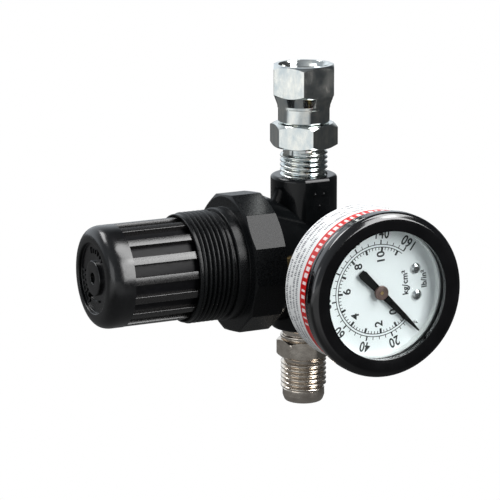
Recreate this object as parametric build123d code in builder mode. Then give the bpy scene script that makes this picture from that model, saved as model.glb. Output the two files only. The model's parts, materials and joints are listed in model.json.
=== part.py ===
from build123d import *
from math import cos, radians, sin, sqrt, tan
import os

# Miniature air pressure regulator: a die-cast body with an air inlet nipple below and a swivel outlet
# nut above, a threaded panel bonnet with a push-lock knob on one side, a valve plug opposite the knob
# and a dial gauge at the front.
#
# Millimetres, +Z up along the port axis. The origin is on the port axis, where the inlet nipple's
# thread meets its wrench hexagon. The knob points along -X and the gauge faces -Y.

# ---- driving dimensions --------------------------------------------------------------------------

# the three crossing axes
knob_axis_height = 30.2
gauge_axis_height = 29.2

# clearances
running = 0.06          # on the radius of anything that turns or slides in a bore
thread_play = 0.05      # on the radius of a screwed joint
face_gap = 0.1          # between faces that pass each other

# body casting
boss_radius = 9.6
boss_flat = 8.8         # port axis to the flats on the bosses
boss_top = 54.0
boss_bottom = 8.9
boss_edge = 1.0
bowl_ledge = 2.4         # bowl's rim beyond the neck
bowl_face = 14.7        # port axis to the bonnet's seat
bowl_crown = 0.6        # how far the bowl's side bulges
hub_wall = 3.35
hub_start = 3.5
hub_end = 13.0
seat_width = 3.6         # neck's rim outside the spring chamber
neck_end = 18.6
gauge_boss_radius = 8.4
gauge_boss_end = 17.0
passage_radius = 3.0
drilling_radius = 1.6
sensing_radius = 0.8
gauge_passage_radius = 1.4
dot_radius = 0.45
dot_spacing = 2.7
dot_row_gap = 3.4
dot_place = (0.6, 6.3)  # sideways from the port axis, and down from the boss's top
dot_height = 0.25
dot_round = 0.2

# inlet nipple
inlet_thread_radius = 6.65
inlet_thread_length = 9.9
inlet_tip_length = 3.6
inlet_bore = 3.4
inlet_flats = 14.0
inlet_hex_height = 5.2
inlet_hex_turned = 7.9
inlet_hex_angle = 33.0
inlet_screwed = 8.5

# outlet adaptor and swivel nut
adaptor_thread_radius = 6.85
adaptor_screwed = 10.5
adaptor_thread_show = 6.7
adaptor_relief = 1.5
adaptor_flats = 17.46
adaptor_hex_height = 6.9
adaptor_hex_angle = 18.7
adaptor_bore = 3.2
swivel_neck_radius = 5.6
swivel_neck_height = 5.5
nose_height = 2.9
nose_tip_radius = 4.0
nut_flats = 17.2
nut_angle = 3.0
nut_height = 16.6
skirt_wall = 1.8          # round the adaptor's neck
nut_skirt_height = 4.1
nut_cone_height = 4.2
nut_minor_radius = 6.05
nut_relief = 1.15         # round the adaptor's neck above the skirt
nut_mouth_radius = 7.35
wire_radius = 0.6
wire_height = 3.0

# bonnet
collar_wall = 3.53        # from the neck to the collar's corners
collar_sides = 12
collar_turn = -7.6
collar_front = 24.8
flange_step = 0.325       # flange beyond the thread
flange_length = 3.4
panel_thread_radius = 15.875
panel_thread_length = 9.2
thread_relief = 1.3
thread_depth = 0.87
mouth_chamfer = 1.2
chamber_wall = 1.805      # under the root of the panel thread
end_wall = 2.4
mouth_recess = 1.1
neck_clearance = 2.4      # from the bonnet's neck to the knob's skirt
bonnet_neck_length = 11.1
key_slot_width = 3.2
key_slot_depth = 0.9

# knob
mouth_wall = 0.925        # bonnet's lip round the knob
knob_gap = 0.35
drive_clear = 1.0         # from the drive hexagon's end to the knob's web
knob_band = 7.4
knob_shoulder = 4.5
knob_rim = 4.55           # from the end recess to the knob's side
knob_recess_depth = 1.1
knob_wall = 3.2
knob_web = 5.0
knob_hub_radius = 7.2
flute_count = 16
flute_width = 3.4
flute_depth = 1.3
flute_turn = 16.2
insert_radius = 5.0
insert_thickness = 1.7
keyhole_radius = 1.6

# adjusting screw and spring nut
screw_radius = 3.9
journal_radius = 5.0
thrust_radius = 6.4
thrust_thickness = 1.4
drive_flats = 8.0
drive_length = 7.9
clip_thickness = 0.8
clip_radius = 6.8
spring_nut_flange = 2.5
spring_nut_hub_wall = 2.3 # outside the screw's thread
spring_nut_hub_length = 5.0
nut_travel = 3.0

# springs
spring_offset = 0.3       # main spring's wire inside the middle of its space
main_wire = 1.8
main_pitch = 2.9
valve_spring_radius = 3.3
valve_wire = 0.6
valve_pitch = 1.15

# diaphragm stack
rim_thickness = 1.2
slip_thickness = 0.8
diaphragm_thickness = 0.9
rim_inset = 0.3           # diaphragm's rim inside the spring chamber
dish_depth = 2.4
plate_clearance = 1.8     # round the plate in the spring chamber
plate_thickness = 1.0
pilot_clearance = 0.7     # between the plate's pilot and the main spring
rivet_radius = 1.55
rivet_head_radius = 3.2
rivet_head = 1.0
vent_radius = 0.5
valve_travel = 0.8

# valve and rear plug
stem_radius = 1.2
throat_radius = 2.6
seat_depth = 2.5
supply_step = 1.05        # supply chamber inside the plug's bore
supply_end = 7.5
poppet_radius = 4.3
poppet_thickness = 1.6
seal_thickness = 0.9
tail_radius = 1.8
tail_length = 1.6       # of the valve's tail inside the plug
plug_radius = 6.45
spring_clearance = 0.7    # round the valve spring in the plug
plug_pocket = 1.5
plug_land = 0.55          # from the plug's thread to its hexagon's flats
plug_hex_height = 3.5
ring_wire = 0.62

# plug in the rear gauge port
port_plug_screwed = 7.3
port_plug_proud = 1.0
port_plug_key = 5.0
port_plug_key_depth = 4.5

# gauge
gauge_thread_radius = 4.9
gauge_screwed = 7.8
socket_flats = 12.0
socket_flats_length = 7.0
socket_round_radius = 6.6
socket_corner = 7.7     # radius that the square's corners are turned to
socket_stem_radius = 4.6
socket_bore = 1.2
arm_arc = 22.0
socket_round_length = 7.3
case_radius = 22.1
case_wall = 0.9
case_corner = 1.2
label_thickness = 0.15
label_inset = 0.1         # from the case's round corner
label_gap = 0.2           # from the bezel
bezel_overhang = 1.1      # beyond the case
bezel_overlap = 1.5       # behind the case's front edge
bezel_depth = 5.8
bezel_width = 5.2
bezel_lip = 1.5
bezel_roll = 3.4        # radius of the rolled front edge
lens_thickness = 1.5
dial_inset = 1.2          # behind the case's front edge
dial_thickness = 0.5
spacer_lip = 0.1          # spacer inside the bezel's opening
gasket_thickness = 0.6
pointer_angle = -45.0
pointer_clearance = 0.8   # from its tip to the bezel's opening
pointer_tail = 8.7
pointer_taper = 4.2
blade_half = 0.75
tail_half = 1.25
pointer_height = 0.8
pointer_thickness = 0.25
pointer_hub_radius = 2.0
arbor_radius = 0.5
stop_pin_radius = 0.4
stop_pin_place = 14.95
stop_pin_angle = -40.1
dial_screw_places = ((11.3, 5.5), (11.8, -2.1))
dial_screw_radius = 1.1
dial_stand = 1.7         # from the movement's front plate to the dial
plate_gap = 4.0
movement_radius = 9.0
movement_plate = 0.8
pinion_radius = 1.5
sector_radius = 7.5
sector_angle = 200.0
sector_lead = 62.0
sector_arc = 74.0
sector_tail = 4.2
link_thickness = 0.5
link_width = 1.4
pillar_radius = 0.9
pillar_inset = 1.2      # from the edge of the movement's plates
pillar_start = -70.0
tube_start = -80.0
tube_end = 170.0
tube_radius = 15.2
tube_width = 5.0
tube_thickness = 1.8
tube_floor = 0.4         # from the case's floor to the tube
tip_post_radius = 0.8

# ---- the axes, and the shapes that several pieces share ------------------------------------------

port = Plane(origin=(0, 0, 0), x_dir=(1, 0, 0), z_dir=(0, 0, 1))
knob_side = Plane(origin=(0, 0, knob_axis_height), x_dir=(0, 0, 1), z_dir=(-1, 0, 0))
gauge_side = Plane(origin=(0, 0, gauge_axis_height), x_dir=(1, 0, 0), z_dir=(0, -1, 0))
plug_side = Plane(origin=(0, 0, gauge_axis_height), x_dir=(1, 0, 0), z_dir=(0, 1, 0))


def half_section(base):
    """The plane through the base plane's z axis whose x is a radius and whose y is a height."""
    return Plane(origin=base.origin, x_dir=base.x_dir, z_dir=-base.y_dir)


def turn(base, points, mode=Mode.ADD, arc=360.0):
    """Turn a closed outline of (radius, height) points about the base plane's z axis."""
    with BuildSketch(half_section(base)) as section:
        with BuildLine():
            Polyline(*points, close=True)
        make_face()
    revolve(section.sketch, axis=Axis(base.origin, base.z_dir), revolution_arc=arc, mode=mode)


def tube(base, outer, inner, low, high, mode=Mode.ADD):
    """A plain round tube, or a rod where the inner radius is nought."""
    turn(base, [(inner, low), (outer, low), (outer, high), (inner, high)], mode)


def ring(base, radius, wire, height, mode=Mode.ADD, arc=360.0):
    """A ring of round wire about the base plane's z axis."""
    with BuildSketch(half_section(base)) as section:
        with Locations((radius, height)):
            Circle(wire)
    revolve(section.sketch, axis=Axis(base.origin, base.z_dir), revolution_arc=arc, mode=mode)


def prism(base, sides, flats, low, high, angle=0.0):
    """A regular prism, given across its flats, as the first shape of a piece."""
    with BuildSketch(base.offset(low)) as outline:
        RegularPolygon(flats / 2, sides, major_radius=False, rotation=angle)
    extrude(outline.sketch, amount=high - low)


def wrench_hex(base, flats, turned, low, high, angle=0.0, bottom=True, top=True):
    """A hexagon with its corners turned to a radius and chamfered at 30 degrees."""
    prism(base, 6, flats, low, high, angle)
    face = flats / 2 * 0.96
    drop = (turned - face) * tan(radians(30))
    outline = [(0, low), (face if bottom else turned, low)]
    outline += [(turned, low + drop)] if bottom else []
    outline += [(turned, high - drop)] if top else []
    outline += [(face if top else turned, high), (0, high)]
    turn(base, outline, Mode.INTERSECT)


def swung(base, angle):
    """The base plane, turned about its own z axis."""
    across = base.x_dir * cos(radians(angle)) + base.y_dir * sin(radians(angle))
    return Plane(origin=base.origin, x_dir=across, z_dir=base.z_dir)


def coil(base, radius, wire, low, high, pitch):
    """An open coil spring of round wire that stands between two faces."""
    foot = base.from_local_coords(Vector(0, 0, low + wire))
    with BuildPart() as spring:
        with BuildLine() as path:
            Helix(pitch, high - low - 2 * wire, radius, center=foot, direction=base.z_dir)
        with BuildSketch(Plane(origin=path.line @ 0, z_dir=path.line % 0)):
            Circle(wire)
        sweep(path=path.line, is_frenet=True)
    return spring


def save(piece, name):
    """Label a finished piece and write it."""
    piece.part.label = name
    export_step(piece.part, f"parts/{name}.step")


os.makedirs("parts", exist_ok=True)

# ---- heights that pieces share -------------------------------------------------------------------

# along the port axis
hub_radius = plug_radius + hub_wall
supply_radius = plug_radius - supply_step
plug_flats = 2 * (plug_radius + plug_land)
plug_pocket_radius = valve_spring_radius + valve_wire / 2 + spring_clearance
nut_skirt_radius = swivel_neck_radius + skirt_wall
nut_relief_radius = swivel_neck_radius + nut_relief
adaptor_hex_low = boss_top + adaptor_thread_show + adaptor_relief
adaptor_hex_high = adaptor_hex_low + adaptor_hex_height
nut_low = adaptor_hex_high + 3 * face_gap
nut_high = nut_low + nut_height
wire_centre = nut_low + wire_height
neck_high = adaptor_hex_high + swivel_neck_height
nose_high = neck_high + nose_height
nipple_top = boss_bottom + inlet_screwed

# along the knob's axis
chamber_radius = panel_thread_radius - thread_depth - chamber_wall
flange_radius = panel_thread_radius + flange_step
knob_radius = panel_thread_radius - mouth_wall - knob_gap
knob_recess_radius = knob_radius - knob_rim
bonnet_neck_radius = knob_radius - knob_wall - neck_clearance
spring_nut_hub_radius = screw_radius + spring_nut_hub_wall
main_spring_radius = (spring_nut_hub_radius + chamber_radius) / 2 - spring_offset
neck_radius = chamber_radius + seat_width
bowl_radius = neck_radius + bowl_ledge
bonnet_corner_radius = neck_radius + collar_wall
rim_inner_radius = chamber_radius - rim_inset
plate_radius = chamber_radius - plate_clearance
pilot_radius = main_spring_radius - main_wire / 2 - pilot_clearance
rim_top = neck_end + rim_thickness
slip_top = rim_top + slip_thickness
diaphragm_low = rim_top - diaphragm_thickness
plate_top = rim_top + plate_thickness
thread_start = collar_front + flange_length + thread_relief
mouth = thread_start + panel_thread_length + mouth_chamfer
recess_floor = mouth - mouth_recess
wall_inner = recess_floor - end_wall
neck_face = recess_floor + bonnet_neck_length
thrust_low = wall_inner - face_gap - thrust_thickness
flange_high = thrust_low - 10 * face_gap
flange_low = flange_high - spring_nut_flange
clip_low = neck_face + face_gap
clip_high = clip_low + clip_thickness
drive_low = clip_high + 6 * face_gap
drive_high = drive_low + drive_length
hub_low = drive_low + 2 * face_gap
skirt_end = recess_floor + 4 * face_gap
web_low = drive_high + drive_clear
recess_face = web_low + knob_web
knob_end = recess_face + knob_recess_depth
stem_top = diaphragm_low - rivet_head - 0.05

# behind the valve seat, measured along -(knob axis)
seal_high = -seat_depth - 0.02
poppet_high = seal_high - seal_thickness
poppet_low = poppet_high - poppet_thickness
pocket_floor = -supply_end - plug_pocket

# along the gauge's axis
socket_flats_low = gauge_boss_end + 2 * face_gap
socket_flats_high = socket_flats_low + socket_flats_length
case_rear = socket_flats_high + socket_round_length
case_inner = case_radius - case_wall
tube_low = case_rear + case_wall + tube_floor
tube_high = tube_low + tube_width
rear_plate_low = tube_high + 2 * face_gap
rear_plate_high = rear_plate_low + movement_plate
front_plate_low = rear_plate_high + plate_gap
front_plate_high = front_plate_low + movement_plate
dial_back = front_plate_high + dial_stand
dial_face = dial_back + dial_thickness
case_front = dial_face + dial_inset
bezel_radius = case_radius + bezel_overhang
bezel_opening = bezel_radius - bezel_width
bezel_rear = case_front - bezel_overlap
bezel_front = bezel_rear + bezel_depth
label_start = case_rear + case_corner + label_inset
label_length = bezel_rear - label_gap - label_start
spacer_inner_radius = bezel_opening - spacer_lip
lens_high = bezel_front - bezel_lip
lens_low = lens_high - lens_thickness
gasket_low = lens_low - gasket_thickness
pointer_length = bezel_opening - pointer_clearance
pointer_low = dial_face + pointer_height
pointer_high = pointer_low + pointer_thickness

# ---- body casting --------------------------------------------------------------------------------

with BuildPart() as body:
    with BuildSketch(port.offset(boss_bottom)):
        Circle(boss_radius)
        Rectangle(2 * boss_radius, 2 * boss_flat, mode=Mode.INTERSECT)
    extrude(amount=boss_top - boss_bottom)
    fillet(body.edges().group_by(Axis.Z)[-1] + body.edges().group_by(Axis.Z)[0], boss_edge)
    with BuildSketch(half_section(knob_side)):
        with BuildLine():
            wide = (bowl_radius, bowl_face)
            narrow = (hub_radius, -hub_start)
            crown = ((wide[0] + narrow[0]) / 2 + bowl_crown, (wide[1] + narrow[1]) / 2)
            ThreePointArc(narrow, crown, wide)
            Polyline(wide, (neck_radius, bowl_face), (neck_radius, neck_end), (0, neck_end))
            Polyline((0, neck_end), (0, -hub_end), (hub_radius, -hub_end), narrow)
        make_face()
    revolve(axis=Axis(knob_side.origin, knob_side.z_dir))
    tube(gauge_side, gauge_boss_radius, 0, 0, gauge_boss_end)
    tube(plug_side, gauge_boss_radius, 0, 0, gauge_boss_end)
    # three raised dots on the front flat of the upper boss
    dots_origin = (dot_place[0], -boss_flat, boss_top - dot_place[1])
    with BuildSketch(Plane(origin=dots_origin, x_dir=(1, 0, 0), z_dir=(0, -1, 0))):
        with Locations((-dot_spacing / 2, dot_row_gap / 2), (dot_spacing / 2, dot_row_gap / 2)):
            Circle(dot_radius)
        with Locations((0, -dot_row_gap / 2)):
            Circle(dot_radius)
    extrude(amount=dot_height)
    rims = body.edges().filter_by(GeomType.CIRCLE).filter_by(lambda edge: edge.radius < dot_radius + 0.01)
    fillet(rims.sort_by(Axis.Y)[:3], dot_round)
    # chamber under the diaphragm, valve throat, stem guide, supply chamber and plug bore
    tube(knob_side, rim_inner_radius - 0.1, 0, neck_end - dish_depth, neck_end, Mode.SUBTRACT)
    tube(knob_side, throat_radius, 0, -seat_depth, throat_radius + 3.4, Mode.SUBTRACT)
    tube(knob_side, stem_radius + running, 0, 0, neck_end, Mode.SUBTRACT)
    tube(knob_side, supply_radius, 0, -supply_end, -seat_depth, Mode.SUBTRACT)
    tube(knob_side, plug_radius + thread_play, 0, -hub_end, -supply_end, Mode.SUBTRACT)
    # sensing hole from the throat to the diaphragm chamber, beside the stem guide
    with BuildSketch(knob_side.offset(throat_radius)):
        with Locations((0, throat_radius + sensing_radius / 2)):
            Circle(sensing_radius)
    extrude(amount=neck_end - throat_radius, mode=Mode.SUBTRACT)
    # outlet port above, inlet port below, with a slanting drilling to the supply chamber
    tube(port, adaptor_thread_radius + thread_play, 0, boss_top - adaptor_screwed, boss_top, Mode.SUBTRACT)
    tube(port, passage_radius, 0, knob_axis_height, boss_top, Mode.SUBTRACT)
    tube(port, inlet_thread_radius + thread_play, 0, boss_bottom, nipple_top + 0.5, Mode.SUBTRACT)
    tube(port, passage_radius, 0, boss_bottom, nipple_top + 2.0, Mode.SUBTRACT)
    drill_foot = Vector(0, 0, nipple_top + 1.0)
    drill_head = Vector(seat_depth + 2.7, 0, knob_axis_height - 3.5)
    with BuildSketch(Plane(origin=drill_foot, z_dir=drill_head - drill_foot)):
        Circle(drilling_radius)
    extrude(amount=(drill_head - drill_foot).length, mode=Mode.SUBTRACT)
    # gauge ports front and back
    tap_depth = gauge_boss_end - gauge_screwed - 1.0
    for side in (gauge_side, plug_side):
        tube(side, gauge_thread_radius + thread_play, 0, tap_depth, gauge_boss_end, Mode.SUBTRACT)
        tube(side, gauge_passage_radius, 0, 0, gauge_boss_end, Mode.SUBTRACT)
save(body, "body")

# ---- inlet nipple --------------------------------------------------------------------------------

with BuildPart() as inlet_nipple:
    wrench_hex(port, inlet_flats, inlet_hex_turned, 0, inlet_hex_height, inlet_hex_angle)
    nipple_end = -inlet_thread_length - inlet_tip_length
    turn(port, [
        (0, nipple_end), (5.0, nipple_end), (5.7, nipple_end + 0.7), (6.1, nipple_end + 3.0),
        (inlet_thread_radius - 0.4, -inlet_thread_length), (inlet_thread_radius, -inlet_thread_length),
        (inlet_thread_radius, 0), (6.0, 0.1), (6.0, inlet_hex_height + 0.5),
        (inlet_thread_radius, inlet_hex_height + 0.9), (inlet_thread_radius, nipple_top - 0.8),
        (inlet_thread_radius - 0.8, nipple_top), (0, nipple_top),
    ])
    tube(port, inlet_bore, 0, nipple_end, nipple_top, Mode.SUBTRACT)
save(inlet_nipple, "inlet_nipple")

# ---- outlet adaptor, swivel nut and the wire that holds them together ----------------------------

with BuildPart() as outlet_adaptor:
    wrench_hex(port, adaptor_flats, adaptor_flats / sqrt(3), adaptor_hex_low, adaptor_hex_high,
               adaptor_hex_angle)
    adaptor_foot = boss_top - adaptor_screwed + 0.3
    adaptor_root = adaptor_thread_radius - thread_depth
    turn(port, [
        (0, adaptor_foot), (adaptor_root, adaptor_foot),
        (adaptor_thread_radius, adaptor_foot + thread_depth),
        (adaptor_thread_radius, boss_top + adaptor_thread_show),
        (adaptor_root, boss_top + adaptor_thread_show + 0.3), (adaptor_root, adaptor_hex_low + 0.1),
        (swivel_neck_radius, adaptor_hex_low + 0.1), (swivel_neck_radius, neck_high),
        (nose_tip_radius, nose_high), (0, nose_high),
    ])
    ring(port, swivel_neck_radius, wire_radius + 0.02, wire_centre, Mode.SUBTRACT)
    tube(port, adaptor_bore, 0, adaptor_foot, nose_high, Mode.SUBTRACT)
save(outlet_adaptor, "outlet_adaptor")

with BuildPart() as swivel_nut:
    corner = nut_flats / sqrt(3)
    prism(port, 6, nut_flats, nut_low, nut_high, nut_angle)
    skirt_high = nut_low + nut_skirt_height
    cone_high = skirt_high + nut_cone_height
    turn(port, [
        (0, nut_low), (nut_skirt_radius - 0.3, nut_low), (nut_skirt_radius, nut_low + 0.3),
        (nut_skirt_radius, skirt_high), (nut_skirt_radius + 0.15, skirt_high + 0.1),
        (nut_skirt_radius + 0.15, skirt_high + 0.7), (nut_flats / 2 + 0.1, cone_high - 0.7),
        (corner, cone_high), (corner, nut_high - 0.95), (nut_flats / 2 - 0.3, nut_high), (0, nut_high),
    ], Mode.INTERSECT)
    relief_low = neck_high - 0.4
    relief_high = nose_high + 0.1
    turn(port, [
        (0, nut_low), (swivel_neck_radius + running, nut_low), (swivel_neck_radius + running, relief_low),
        (nut_relief_radius, relief_low + 0.5), (nut_relief_radius, relief_high - 0.5),
        (nut_minor_radius, relief_high), (nut_minor_radius, nut_high - 0.9),
        (nut_mouth_radius, nut_high), (0, nut_high),
    ], Mode.SUBTRACT)
    ring(port, swivel_neck_radius, wire_radius + running, wire_centre, Mode.SUBTRACT)
save(swivel_nut, "swivel_nut")

with BuildPart() as retaining_wire:
    ring(port, swivel_neck_radius, wire_radius, wire_centre, arc=330.0)
save(retaining_wire, "retaining_wire")

# ---- valve, its spring and the rear plug ---------------------------------------------------------

with BuildPart() as valve:
    turn(knob_side, [
        (0, pocket_floor - tail_length), (tail_radius, pocket_floor - tail_length),
        (tail_radius, poppet_low), (poppet_radius, poppet_low), (poppet_radius, poppet_high),
        (stem_radius, poppet_high), (stem_radius, stem_top - 0.7), (0.3, stem_top), (0, stem_top),
    ])
save(valve, "valve")

with BuildPart() as valve_seal:
    tube(knob_side, poppet_radius - 0.3, stem_radius, poppet_high, seal_high)
save(valve_seal, "valve_seal")

valve_spring = coil(knob_side, valve_spring_radius, valve_wire / 2, pocket_floor + 0.02, poppet_low - 0.02,
                    valve_pitch)
save(valve_spring, "valve_spring")

plug_end = -hub_end - plug_hex_height
with BuildPart() as rear_plug:
    wrench_hex(knob_side, plug_flats, plug_flats / sqrt(3), plug_end, -hub_end, bottom=True, top=False)
    tube(knob_side, plug_radius, 0, -hub_end - 0.1, -supply_end)
    ring_height = (pocket_floor - hub_end) / 2
    tube(knob_side, plug_radius, plug_radius - 2 * ring_wire, ring_height - ring_wire - 0.1,
         ring_height + ring_wire + 0.1, Mode.SUBTRACT)
    tube(knob_side, plug_pocket_radius, 0, pocket_floor, -supply_end, Mode.SUBTRACT)
    tail_bore_end = pocket_floor - tail_length - valve_travel - 2 * face_gap
    tube(knob_side, tail_radius + running, 0, tail_bore_end, pocket_floor, Mode.SUBTRACT)
save(rear_plug, "rear_plug")

with BuildPart() as plug_ring:
    ring(knob_side, plug_radius - ring_wire, ring_wire, ring_height)
save(plug_ring, "plug_ring")

# ---- diaphragm stack -----------------------------------------------------------------------------

with BuildPart() as diaphragm:
    fold_low = neck_end - 1.0
    turn(knob_side, [
        (rivet_radius + 0.05, diaphragm_low), (rim_inner_radius - 4.3, diaphragm_low),
        (rim_inner_radius - 3.3, fold_low), (rim_inner_radius - 1.5, fold_low),
        (rim_inner_radius - 0.5, neck_end), (neck_radius - 0.3, neck_end), (neck_radius - 0.3, rim_top),
        (rim_inner_radius - 0.9, rim_top), (rim_inner_radius - 1.8, fold_low + diaphragm_thickness),
        (rim_inner_radius - 2.9, fold_low + diaphragm_thickness), (rim_inner_radius - 3.7, rim_top),
        (rivet_radius + 0.05, rim_top),
    ])
save(diaphragm, "diaphragm")

with BuildPart() as slip_ring:
    tube(knob_side, neck_radius - 0.2, chamber_radius, rim_top, slip_top)
save(slip_ring, "slip_ring")

with BuildPart() as diaphragm_plate:
    pilot_inner = pilot_radius - 1.2
    pilot_top = plate_top + 1.0
    turn(knob_side, [
        (rivet_radius + 0.05, rim_top), (plate_radius, rim_top), (plate_radius, plate_top),
        (pilot_radius, plate_top), (pilot_radius - 0.4, pilot_top), (pilot_inner, pilot_top),
        (pilot_inner, plate_top), (rivet_radius + 0.05, plate_top),
    ])
save(diaphragm_plate, "diaphragm_plate")

with BuildPart() as relief_rivet:
    turn(knob_side, [
        (vent_radius, stem_top + 0.05), (rivet_head_radius, stem_top + 0.05),
        (rivet_head_radius, diaphragm_low), (rivet_radius, diaphragm_low), (rivet_radius, plate_top),
        (rivet_radius + 0.8, plate_top), (rivet_radius + 0.5, plate_top + 0.6),
        (vent_radius, plate_top + 0.6),
    ])
save(relief_rivet, "relief_rivet")

# ---- bonnet --------------------------------------------------------------------------------------

with BuildPart() as bonnet:
    flats = 2 * bonnet_corner_radius * cos(radians(180 / collar_sides))
    rear = bowl_face + face_gap / 2
    prism(knob_side, collar_sides, flats, rear, collar_front, collar_turn)
    chamfer(bonnet.edges().group_by(Axis.X)[0] + bonnet.edges().group_by(Axis.X)[-1], 0.35)
    turn(knob_side, [
        (0, collar_front - 1), (flange_radius, collar_front - 1),
        (flange_radius, collar_front + flange_length - 0.4),
        (flange_radius - 0.4, collar_front + flange_length),
        (panel_thread_radius - thread_depth, collar_front + flange_length + 0.2),
        (panel_thread_radius - thread_depth, thread_start - 0.2), (panel_thread_radius, thread_start),
        (panel_thread_radius, mouth - mouth_chamfer), (panel_thread_radius - 0.75, mouth),
        (knob_radius + knob_gap, mouth), (knob_radius + knob_gap, recess_floor),
        (bonnet_neck_radius, recess_floor),
        (bonnet_neck_radius, neck_face - 0.4), (bonnet_neck_radius - 0.4, neck_face), (0, neck_face),
    ])
    # socket for the body's neck, spring chamber, and the adjusting screw's bearing
    turn(knob_side, [
        (0, rear), (neck_radius + thread_play, rear), (neck_radius + thread_play, slip_top),
        (chamber_radius, slip_top), (chamber_radius, wall_inner), (journal_radius + running, wall_inner),
        (journal_radius + running, neck_face), (0, neck_face),
    ], Mode.SUBTRACT)
    # two keyways that stop the spring nut from turning
    with BuildSketch(knob_side.offset(flange_low - nut_travel - 0.5)):
        Rectangle(key_slot_width, 2 * (chamber_radius + key_slot_depth))
    extrude(amount=wall_inner - flange_low + nut_travel + 0.5, mode=Mode.SUBTRACT)
save(bonnet, "bonnet")

# ---- adjusting screw, clip, spring nut and main spring -------------------------------------------

with BuildPart() as adjusting_screw:
    prism(knob_side, 6, drive_flats, drive_low, drive_high)
    screw_foot = plate_top + 2.0
    turn(knob_side, [
        (0, screw_foot), (screw_radius - 0.5, screw_foot), (screw_radius, screw_foot + 0.5),
        (screw_radius, thrust_low), (thrust_radius, thrust_low), (thrust_radius, wall_inner - face_gap),
        (journal_radius, wall_inner - face_gap), (journal_radius, clip_low - 0.05),
        (journal_radius - 0.8, clip_low - 0.05), (journal_radius - 0.8, clip_high + 0.05),
        (journal_radius, clip_high + 0.05), (journal_radius - 0.4, drive_low), (0, drive_low),
    ])
save(adjusting_screw, "adjusting_screw")

with BuildPart() as screw_clip:
    # a spring clip, open on one side so that it can be pushed into its groove
    groove_radius = journal_radius - 0.8 + 0.02
    tube(knob_side, clip_radius, groove_radius, clip_low, clip_high)
    with BuildSketch(knob_side.offset(clip_low)):
        with Locations((clip_radius / 2, 0)):
            Rectangle(clip_radius + 1, 1.6 * groove_radius)
    extrude(amount=clip_thickness, mode=Mode.SUBTRACT)
save(screw_clip, "screw_clip")

with BuildPart() as spring_nut:
    tube(knob_side, chamber_radius - 5 * running, 0, flange_low, flange_high)
    tube(knob_side, spring_nut_hub_radius, 0, flange_low - spring_nut_hub_length, flange_low)
    with BuildSketch(knob_side.offset(flange_low)):
        Rectangle(key_slot_width - 0.2, 2 * (chamber_radius + key_slot_depth - 0.15))
    extrude(amount=spring_nut_flange)
    tapped_low = flange_low - spring_nut_hub_length
    tube(knob_side, screw_radius + thread_play, 0, tapped_low, flange_high, Mode.SUBTRACT)
save(spring_nut, "spring_nut")

main_spring = coil(knob_side, main_spring_radius, main_wire / 2, plate_top + 0.02, flange_low - 0.02,
                   main_pitch)
save(main_spring, "main_spring")

# ---- knob ----------------------------------------------------------------------------------------

with BuildPart() as knob:
    with BuildSketch(half_section(knob_side)) as knob_section:
        with BuildLine():
            Polyline(
                (0, recess_face), (knob_recess_radius, recess_face), (knob_recess_radius, knob_end),
                (knob_radius, knob_end), (knob_radius, skirt_end), (knob_radius - knob_wall, skirt_end),
                (knob_radius - knob_wall, web_low), (knob_hub_radius, web_low), (knob_hub_radius, hub_low),
                (0, hub_low), close=True,
            )
        make_face()
        outer = [v for v in knob_section.vertices() if v.X > knob_radius - 0.01 and v.Y > knob_end - 0.01]
        fillet(outer, knob_shoulder)
    revolve(axis=Axis(knob_side.origin, knob_side.z_dir))
    # grip flutes, from the smooth band to the skirt's end
    with BuildSketch(knob_side.offset(skirt_end)):
        with PolarLocations(knob_radius, flute_count, start_angle=flute_turn):
            Rectangle(2 * flute_depth, flute_width)
    extrude(amount=knob_end - knob_band - skirt_end, mode=Mode.SUBTRACT)
    # socket for the screw's drive hexagon, and the seat of the insert
    with BuildSketch(knob_side.offset(hub_low)):
        RegularPolygon(drive_flats / 2 + 2 * running, 6, major_radius=False)
    extrude(amount=drive_high - hub_low + 0.8, mode=Mode.SUBTRACT)
    tube(knob_side, insert_radius + 0.03, 0, recess_face - insert_thickness / 2, recess_face, Mode.SUBTRACT)
save(knob, "knob")

with BuildPart() as knob_insert:
    insert_low = recess_face - insert_thickness / 2
    tube(knob_side, insert_radius, keyhole_radius, insert_low, insert_low + insert_thickness)
    chamfer(knob_insert.edges().group_by(Axis.X)[0].sort_by(SortBy.LENGTH)[-1], 0.3)
save(knob_insert, "knob_insert")

# ---- gauge: socket, case, label, bezel, lens -----------------------------------------------------

with BuildPart() as gauge_socket:
    prism(gauge_side, 4, socket_flats, socket_flats_low, socket_flats_high, 45.0)
    turn(gauge_side, [
        (0, socket_flats_low), (socket_flats / 2, socket_flats_low),
        (socket_corner, socket_flats_low + 0.7), (socket_corner, socket_flats_high - 0.7),
        (socket_flats / 2, socket_flats_high), (0, socket_flats_high),
    ], Mode.INTERSECT)
    socket_foot = gauge_boss_end - gauge_screwed
    turn(gauge_side, [
        (0, socket_foot), (gauge_thread_radius - 0.7, socket_foot),
        (gauge_thread_radius, socket_foot + 0.7),
        (gauge_thread_radius, socket_flats_high), (socket_round_radius, socket_flats_high - 0.1),
        (socket_round_radius, case_rear), (socket_stem_radius, case_rear),
        (socket_stem_radius, rear_plate_low), (0, rear_plate_low),
    ])
    # the arm inside the case that holds the foot of the coiled tube
    arm_low = case_rear + case_wall + face_gap
    arm_end = tube_radius + tube_thickness / 2
    turn(swung(gauge_side, tube_start - arm_arc), [
        (0, arm_low), (arm_end, arm_low), (arm_end, tube_high), (0, tube_high),
    ], arc=arm_arc)
    tube(gauge_side, socket_bore, 0, socket_foot, tube_low + tube_width / 2, Mode.SUBTRACT)
save(gauge_socket, "gauge_socket")

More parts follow.
